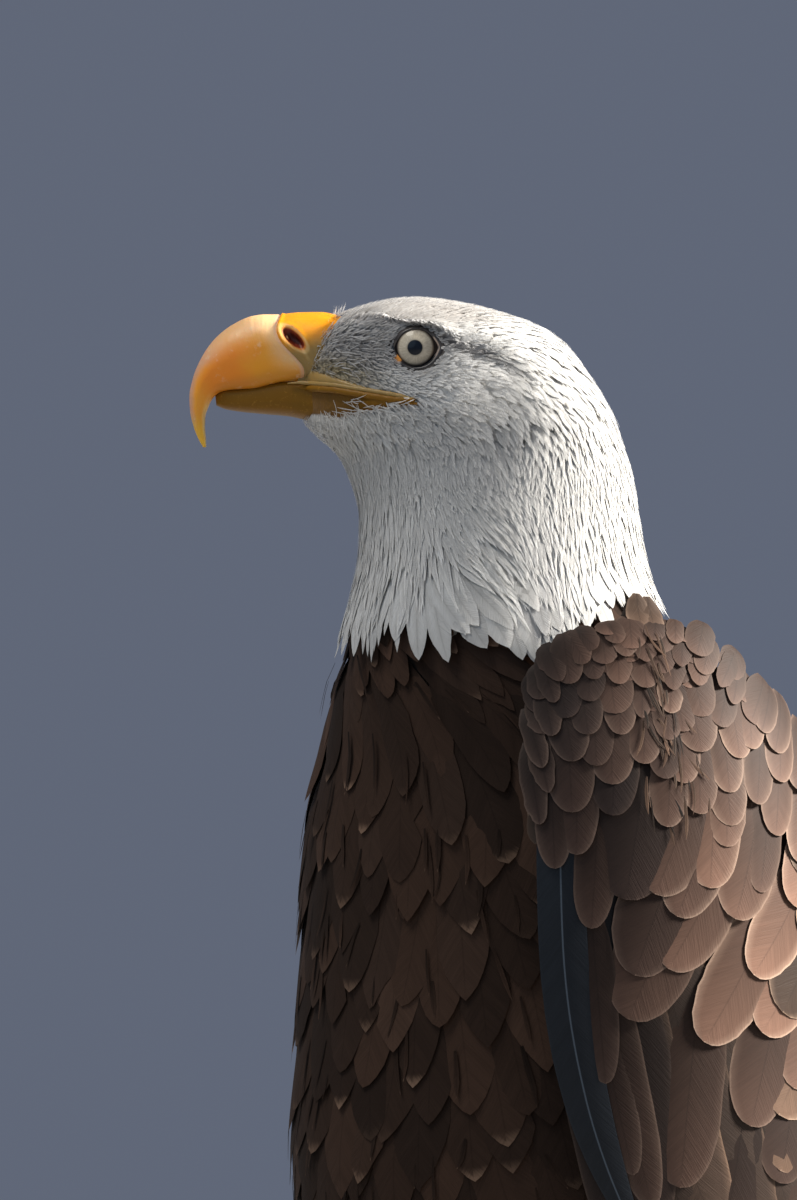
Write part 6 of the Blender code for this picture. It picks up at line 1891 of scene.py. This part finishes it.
# --------------------------------------------------------------- legs and feet
def scaled_skin():
    """Yellow leg skin: small rounded scales, plates along the front and toe tops, darker between the scales and in the
    folds between plates.
    """
    made, tree, bsdf = nodes_of("leg_skin_look")
    place = node(tree, "ShaderNodeAttribute", attribute_name="Place").outputs["Vector"]
    xyz = tree.nodes.new("ShaderNodeSeparateXYZ")
    tree.links.new(place, xyz.inputs[0])
    where = tree.nodes.new("ShaderNodeTexCoord").outputs["Object"]
    cells = tree.nodes.new("ShaderNodeTexVoronoi")
    cells.feature = "DISTANCE_TO_EDGE"
    cells.inputs["Scale"].default_value = 470
    tree.links.new(where, cells.inputs["Vector"])
    cloud = noise(tree, where, 60, 4, 0.55)
    fine = noise(tree, where, 700, 3, 0.6)
    colour = mixed(tree, ramp(tree, cloud, 0.35, 0.68), (0.70, 0.40, 0.035), (0.76, 0.49, 0.09))
    gaps = ramp(tree, cells.outputs["Distance"], 0.10, 0.0)
    fold = ramp(tree, xyz.outputs[0], 0.10, 0.0)
    crease = maths(tree, "MAXIMUM", maths(tree, "MULTIPLY", gaps, ramp(tree, xyz.outputs[1], 0.8, 0.2)), fold)
    colour = mixed(tree, maths(tree, "MULTIPLY", crease, 0.55), colour, (0.34, 0.17, 0.03))
    colour = mixed(tree, maths(tree, "MULTIPLY", ramp(tree, fine, 0.56, 0.7), 0.22), colour, (0.42, 0.24, 0.06))
    tree.links.new(colour, bsdf.inputs["Base Color"])
    bsdf.inputs["Roughness"].default_value = 0.46
    bsdf.inputs["Subsurface Weight"].default_value = 0.06
    bsdf.inputs["Subsurface Radius"].default_value = (0.003, 0.0015, 0.0006)
    bsdf.inputs["Subsurface Scale"].default_value = 1.0
    height = maths(tree, "MULTIPLY", ramp(tree, cells.outputs["Distance"], 0.0, 0.16), ramp(tree, xyz.outputs[1], 0.8, 0.2))
    bump(tree, bsdf, maths(tree, "ADD", height, maths(tree, "MULTIPLY", fine, 0.2)), 0.6, 0.0005)
    return made


def talon_horn():
    made, tree, bsdf = nodes_of("talon_look")
    place = node(tree, "ShaderNodeAttribute", attribute_name="Place").outputs["Vector"]
    xyz = tree.nodes.new("ShaderNodeSeparateXYZ")
    tree.links.new(place, xyz.inputs[0])
    along_at = tree.nodes.new("ShaderNodeCombineXYZ")
    tree.links.new(maths(tree, "MULTIPLY", xyz.outputs[0], 3.0), along_at.inputs[0])
    tree.links.new(maths(tree, "MULTIPLY", xyz.outputs[1], 24.0), along_at.inputs[1])
    grain = noise(tree, along_at.outputs[0], 1.0, 4, 0.6)
    where = tree.nodes.new("ShaderNodeTexCoord").outputs["Object"]
    fine = noise(tree, where, 500, 3, 0.6)
    colour = mixed(tree, ramp(tree, grain, 0.35, 0.7), (0.010, 0.009, 0.010), (0.040, 0.034, 0.032))
    colour = mixed(tree, maths(tree, "MULTIPLY", ramp(tree, xyz.outputs[0], 0.12, 0.0), 0.6), colour, (0.10, 0.075, 0.05))
    tree.links.new(colour, bsdf.inputs["Base Color"])
    tree.links.new(ramp(tree, fine, 0.35, 0.7, 0.20, 0.42), bsdf.inputs["Roughness"])
    bsdf.inputs["Coat Weight"].default_value = 0.3
    bsdf.inputs["Coat Roughness"].default_value = 0.12
    bump(tree, bsdf, maths(tree, "ADD", grain, maths(tree, "MULTIPLY", fine, 0.3)), 0.35, 0.0003)
    return made


LEG_LOOK, TALON_LOOK = scaled_skin(), talon_horn()


def limb(name, line, radii, plate, side_step=0.6, sides=30, floor=True, plates_on=1.0, front=None):
    """A leg or toe as a tube with overlapping plates on its upper side; plate is their pitch."""
    line, radii = np.asarray(line, float), np.asarray(radii, float)
    arc = np.concatenate([[0], np.cumsum(lengths(np.diff(line, axis=0)))])
    count = max(12, int(arc[-1] / side_step))
    rows = through([tuple(l) + (r,) for l, r in zip(line, radii)], np.interp(np.linspace(0, arc[-1], count), arc, range(len(line))))
    centre, r = rows[:, :3], rows[:, 3]
    d = np.linspace(0, arc[-1], count)
    way = np.gradient(centre, axis=0)
    way /= lengths(way)[:, None]
    up = np.broadcast_to(np.array([0, 0, 1.0] if front is None else front), centre.shape)
    across = np.cross(way, up)
    across /= lengths(across)[:, None]
    rise = np.cross(across, way)
    th = np.linspace(0, 2 * np.pi, sides, endpoint=False)
    on_top = np.clip(np.sin(th) * 1.6 + 0.15, 0, 1)[None, :]
    saw = (d / plate) % 1.0
    profile = np.where(saw < 0.82, 0.25 + 0.75 * np.sin(np.pi * np.clip(saw / 0.82, 0, 1)) ** 0.6, 0.0)
    wide = r[:, None] + on_top * plates_on * (0.55 * profile - 0.25)[:, None]
    # the pads under the toe bulge between its joints
    pads = 0.30 * np.cos(2 * np.pi * d / 17.0)
    wide = wide + np.clip(-np.sin(th), 0, 1)[None, :] * pads[:, None] * (1.0 if floor else 0.0)
    rings = centre[:, None] + wide[..., None] * (np.cos(th)[None, :, None] * across[:, None] + np.sin(th)[None, :, None] * rise[:, None])
    # rounded ends
    if floor:
        rings[..., 2] = np.maximum(rings[..., 2], 0.0)
    cap0, cap1 = [], []
    for e, (lift, shrink) in enumerate(((0.42, 0.90), (0.78, 0.60), (0.95, 0.25))):
        cap1.append(centre[-1] + way[-1] * r[-1] * lift * 0.5 + (rings[-1] - centre[-1]) * shrink)
    rings = np.concatenate([rings, np.array(cap1)])
    if floor:
        rings[..., 2] = np.maximum(rings[..., 2], 0.0)
    marks = np.zeros(rings.shape)
    marks[:count, :, 0] = np.where(on_top > 0.4, profile[:, None], 1.0)
    marks[:count, :, 1] = np.broadcast_to(on_top, (count, sides))
    marks[:count, :, 2] = d[:, None]
    marks[count:, :, 0] = 1.0
    obj = grid_mesh(name, rings)
    place_marks(obj, rings, marks)
    p = points_of(obj.data)
    return obj


legs, talons = [], []
patch_at = 0
for side, label in ((1, "left"), (-1, "right")):
    shank_line = [(side * x, -f, z) for x, f, z, r in TARSUS]
    shank_line = [(side * 50, 40, 104)] + shank_line
    shank_r = [8.6] + [r * 0.98 for x, f, z, r in TARSUS]
    made = [limb("shank", shank_line, shank_r, 5.2, sides=40, floor=False, front=(0, -1, 0), plates_on=1.3)]
    # palm
    th, ph = np.meshgrid(np.linspace(0.02, math.pi - 0.02, 26), np.linspace(0, 2 * math.pi, 40, endpoint=False), indexing="ij")
    palm = np.stack([side * FOOT[0] + 17.0 * np.sin(th) * np.cos(ph), -FOOT[1] + 18.0 * np.sin(th) * np.sin(ph), 12.6 + 12.3 * np.cos(th)], -1)
    palm[..., 2] = np.maximum(palm[..., 2], 0.0)
    obj = grid_mesh("palm", palm)
    p = points_of(obj.data)
    paint(obj.data, "Place", np.stack([np.ones(len(p)), np.zeros(len(p)), p[:, 2]], -1))
    made.append(obj)
    for name, bearing, long_by, thick, talon in TOES:
        out = math.radians(bearing + FOOT_SPLAY)
        dx, dy = side * math.sin(out), -math.cos(out)
        steps = 13
        line, radii = [], []
        for k in range(steps):
            s = k / (steps - 1)
            knuckle = 0.55 * math.cos(2 * math.pi * s * (3 if long_by > 50 else 2))
            r = thick * (0.80 + 0.24 * math.sin(math.pi * min(1, 0.12 + s))) - 0.9 * s + knuckle
            d = 6 + (long_by - 6) * s
            line.append((side * FOOT[0] + dx * d, -FOOT[1] + dy * d, r * 0.955))
            radii.append(r * 0.985)
        made.append(limb("toe", line, radii, 3.9))
        rise = math.radians(36)
        end_z, tip_r = line[-1][2], 0.55
        low, high = -1.6, 0.0
        for _ in range(40):
            fall = (low + high) / 2
            drop = talon * (math.cos(rise) - math.cos(fall)) / (fall - rise)
            low, high = (fall, high) if end_z + drop < tip_r else (low, fall)
        count = 40
        arc, d, zz = [], long_by - 2.0, end_z - 1.0
        base = radii[-1] * 0.82
        for k in range(count):
            s = k / (count - 1)
            arc.append((side * FOOT[0] + dx * d, -FOOT[1] + dy * d, max(zz, 0.5), base + (tip_r - base) * s**0.9))
            slant_now = rise + (fall - rise) * (s + 0.5 / (count - 1))
            d += (talon + 2.0) / (count - 1) * math.cos(slant_now)
            zz += (talon + 1.5) / (count - 1) * math.sin(slant_now)
        arc = np.array(arc)
        claw = tubed("claw", arc[:, :3], arc[:, 3] * 0.97, sides=20, flat=1.0)
        p = points_of(claw.data)
        away = np.hypot(p[:, 0] - side * FOOT[0], p[:, 1] + FOOT[1])
        along_claw = np.clip((away - long_by) / talon, 0, 1)
        paint(claw.data, "Place", np.stack([along_claw, np.clip(p[:, 2] / 20, 0, 1), np.zeros(len(p))], -1))
        claw["toe"] = name
        claw["side"] = label
        for v in claw.data.vertices:
            v.co.z = max(v.co.z, 0.0)
        own_uv(claw, np.clip(along_claw, 0.02, 0.98), np.clip(0.5 + 0.05 * (p[:, 0] * -dy + (p[:, 1] + 0) * dx - (side * FOOT[0] * -dy - FOOT[1] * dx)), 0.02, 0.98))
        talons.append((claw, "talon_%s_%s" % (name, label)))
    cells = 4
    for index, piece in enumerate(made):
        p = points_of(piece.data)
        lo, hi = p.min(0), p.max(0)
        if index == 0:
            a = np.arctan2(p[:, 0] - side * 50, -(p[:, 1] - 38)) / (2 * np.pi) + 0.5
            b = (p[:, 2] - lo[2]) / (hi[2] - lo[2])
        else:
            a = (p[:, 0] - lo[0]) / max(hi[0] - lo[0], 1)
            b = (p[:, 1] - lo[1]) / max(hi[1] - lo[1], 1)
            a = 0.5 * a * np.where(p[:, 2] > 7, 1, 1) + 0.5 * (p[:, 2] < 7)
        column, row = index % 3, index // 3
        own_uv(piece, (column + 0.03 + 0.94 * np.clip(a, 0, 1)) / 3, (row + 0.03 + 0.94 * np.clip(b, 0, 1)) / 2)
    foot = joined("foot_" + label, made)
    foot.data.materials.clear()
    foot.data.materials.append(LEG_LOOK)
    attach(foot, "root")
    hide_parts("tarsus_" + label)
    for name, *_ in TOES:
        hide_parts("toe_%s_%s" % (name, label))
for claw, target in talons:
    claw.name = target + "_horn"
    claw.data.name = claw.name
    for key in ("toe", "side"):
        del claw[key]
    claw.data.materials.append(TALON_LOOK)
    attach(claw, "root")
    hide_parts(target)


# ---------------------------------------------------------------- skin's finish
def skin_material():
    """Down and skin under the plumage, in the plumage's own colours."""
    made, tree, bsdf = nodes_of("skin_look")
    tone = node(tree, "ShaderNodeAttribute", attribute_name="Tone").outputs["Color"]
    where = tree.nodes.new("ShaderNodeTexCoord").outputs["Object"]
    long_cloud = noise(tree, where, 120, 4, 0.6)
    fine = noise(tree, where, 900, 3, 0.6)
    grey = tree.nodes.new("ShaderNodeCombineColor")
    level = ramp(tree, maths(tree, "ADD", maths(tree, "MULTIPLY", long_cloud, 0.6), maths(tree, "MULTIPLY", fine, 0.4)), 0.3, 0.7, 0.75, 1.12, smooth=False)
    for socket in grey.inputs[:3]:
        tree.links.new(level, socket)
    tree.links.new(blend_colour(tree, "MULTIPLY", 1.0, tone, grey.outputs[0]), bsdf.inputs["Base Color"])
    bsdf.inputs["Roughness"].default_value = 0.85
    bsdf.inputs["Sheen Weight"].default_value = 0.1
    bump(tree, bsdf, maths(tree, "ADD", long_cloud, maths(tree, "MULTIPLY", fine, 0.6)), 0.8, 0.0008)
    return made


p = points_of(skin.data)
n = len(p)
# the skin sinks behind the lids
ea, eu, es = from_head(p)
pull = 2.4 * (1 - step(0.84, 1.0, np.hypot((ea + 0.3) / 8.7, eu / 7.9))) * (np.abs(es) > 9)
moved = p - SIDEWAYS * (np.sign(es) * pull)[:, None]
skin.data.vertices.foreach_set("co", (moved * MM + SHIFT).astype(np.float32).ravel())
skin.data.update()
tone = face_tone(p, p * 0) * 0.80
tone = np.where(((pull > 0.2) | (np.abs(np.hypot((ea + 0.3) / 9.2, eu / 8.2)) < 1) & (np.abs(es) > 9))[:, None], np.array([0.06, 0.052, 0.05]), tone)
# the bare gape skin here gets the jaw's colour, with its painted shade
bare_face = (ea < 42) & (ea > -1) & (eu < WEDGE_TOP(ea)) & (eu > JAW_LOW(ea)) & (np.abs(es) > 6)
tone = np.where(bare_face[:, None], np.array([0.195, 0.084, 0.001]), tone)
white_end = collar(turn_of(p)) + 13.0
tone = np.where((p[:, 2] < white_end)[:, None], np.array([0.035, 0.022, 0.016]), tone)
rear = (p[:, 1] > 92) & (p[:, 2] < 285) & (np.abs(p[:, 0]) < 42)
tone = np.where(rear[:, None], np.array([0.66, 0.64, 0.61]), tone)
paint(skin.data, "Tone", tone, "FLOAT_COLOR")
layer = skin.data.uv_layers.get("OFBake") or skin.data.uv_layers.new(name="OFBake")
loops = np.empty(len(skin.data.loops), np.int32)
skin.data.loops.foreach_get("vertex_index", loops)
angle = (np.arctan2(p[:, 0] - 2 * step(640, 690, p[:, 2]), -(p[:, 1] + 14)) / (2 * np.pi)) % 1.0
uv = np.stack([angle, np.clip((p[:, 2] - 80) / 665, 0, 1)], -1)[loops]
starts = np.empty(len(skin.data.polygons), np.int32)
totals = np.empty(len(skin.data.polygons), np.int32)
skin.data.polygons.foreach_get("loop_start", starts)
skin.data.polygons.foreach_get("loop_total", totals)
face_of = np.repeat(np.arange(len(starts)), totals)
high_u = np.zeros(len(starts))
np.maximum.at(high_u, face_of, uv[:, 0])
wrap = (high_u[face_of] - uv[:, 0]) > 0.5
uv[wrap, 0] += 1.0
uv = uv * 0.94 + 0.02
uv = np.clip(uv, 0.001, 0.999)
layer.data.foreach_set("uv", uv.astype(np.float32).ravel())
skin.data.materials.clear()
skin.data.materials.append(skin_material())
skin.name = skin.data.name = "skin"
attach(skin, "root")
for name in ("head", "neck", "trunk", "wing_left", "wing_right", "thigh_left", "thigh_right", "tail"):
    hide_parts(name)


# ------------------------------------------------------ floor, light and camera
def stage_floor():
    made, tree, bsdf = nodes_of("studio_floor")
    where = tree.nodes.new("ShaderNodeTexCoord").outputs["Object"]
    cloud = noise(tree, where, 3.0, 3, 0.5)
    fine = noise(tree, where, 160, 2, 0.5)
    tree.links.new(mixed(tree, ramp(tree, cloud, 0.3, 0.7), (0.250, 0.247, 0.241), (0.275, 0.271, 0.264)), bsdf.inputs["Base Color"])
    bsdf.inputs["Roughness"].default_value = 0.8
    bump(tree, bsdf, fine, 0.1, 0.0004)
    mesh = bpy.data.meshes.new("floor")
    bm = bmesh.new()
    bmesh.ops.create_circle(bm, cap_ends=True, segments=128, radius=4.2)
    bm.to_mesh(mesh)
    bm.free()
    mesh.materials.append(made)
    floor = bpy.data.objects.new("floor", mesh)
    bpy.context.scene.collection.objects.link(floor)
    return floor


stage_floor()

VIEW_TURN, VIEW_RISE = math.radians(50.0), math.radians(2.0)
right = Vector((math.cos(VIEW_TURN), math.sin(VIEW_TURN), 0))
away = Vector((math.sin(VIEW_TURN) * math.cos(VIEW_RISE), -math.cos(VIEW_TURN) * math.cos(VIEW_RISE), math.sin(VIEW_RISE)))
target = right * (-48.7 * MM) + Vector((0, 0, 637 * MM)) + Vector(SHIFT.tolist())
lens = bpy.data.cameras.new("portrait")
lens.sensor_width = 36.0
lens.lens = 308.8
lens.clip_end = 50
camera = bpy.data.objects.new("portrait", lens)
bpy.context.scene.collection.objects.link(camera)
camera.location = target + away * 3.5
camera.rotation_euler = away.to_track_quat("Z", "Y").to_euler()
bpy.context.scene.camera = camera


def soft_light(name, turn, rise, distance, size, power, colour):
    """An area light placed by its angle from the camera's side and its height, aimed at the head and breast."""
    a = VIEW_TURN + math.radians(turn)
    e = math.radians(rise)
    way = Vector((math.sin(a) * math.cos(e), -math.cos(a) * math.cos(e), math.sin(e)))
    data = bpy.data.lights.new(name, "AREA")
    data.shape, data.size, data.energy, data.color = "DISK", size, power, colour
    lamp = bpy.data.objects.new(name, data)
    bpy.context.scene.collection.objects.link(lamp)
    lamp.location = Vector((0, 0, 0.58)) + way * distance
    lamp.rotation_euler = way.to_track_quat("Z", "Y").to_euler()
    return lamp


soft_light("key", 91, 28, 5.2, 1.35, 1010, (1.0, 0.955, 0.88))
soft_light("fill", -32, 24, 2.8, 2.4, 9, (0.58, 0.80, 1.0))
soft_light("front", -72, 62, 3.0, 1.4, 52, (1.0, 0.96, 0.88))
world = bpy.data.worlds.new("studio")
world.use_nodes = True
world.node_tree.nodes["Background"].inputs[0].default_value = (0.49, 0.57, 0.78, 1)
world.node_tree.nodes["Background"].inputs[1].default_value = 0.24
bpy.context.scene.world = world
bpy.context.scene.view_settings.view_transform = "Standard"
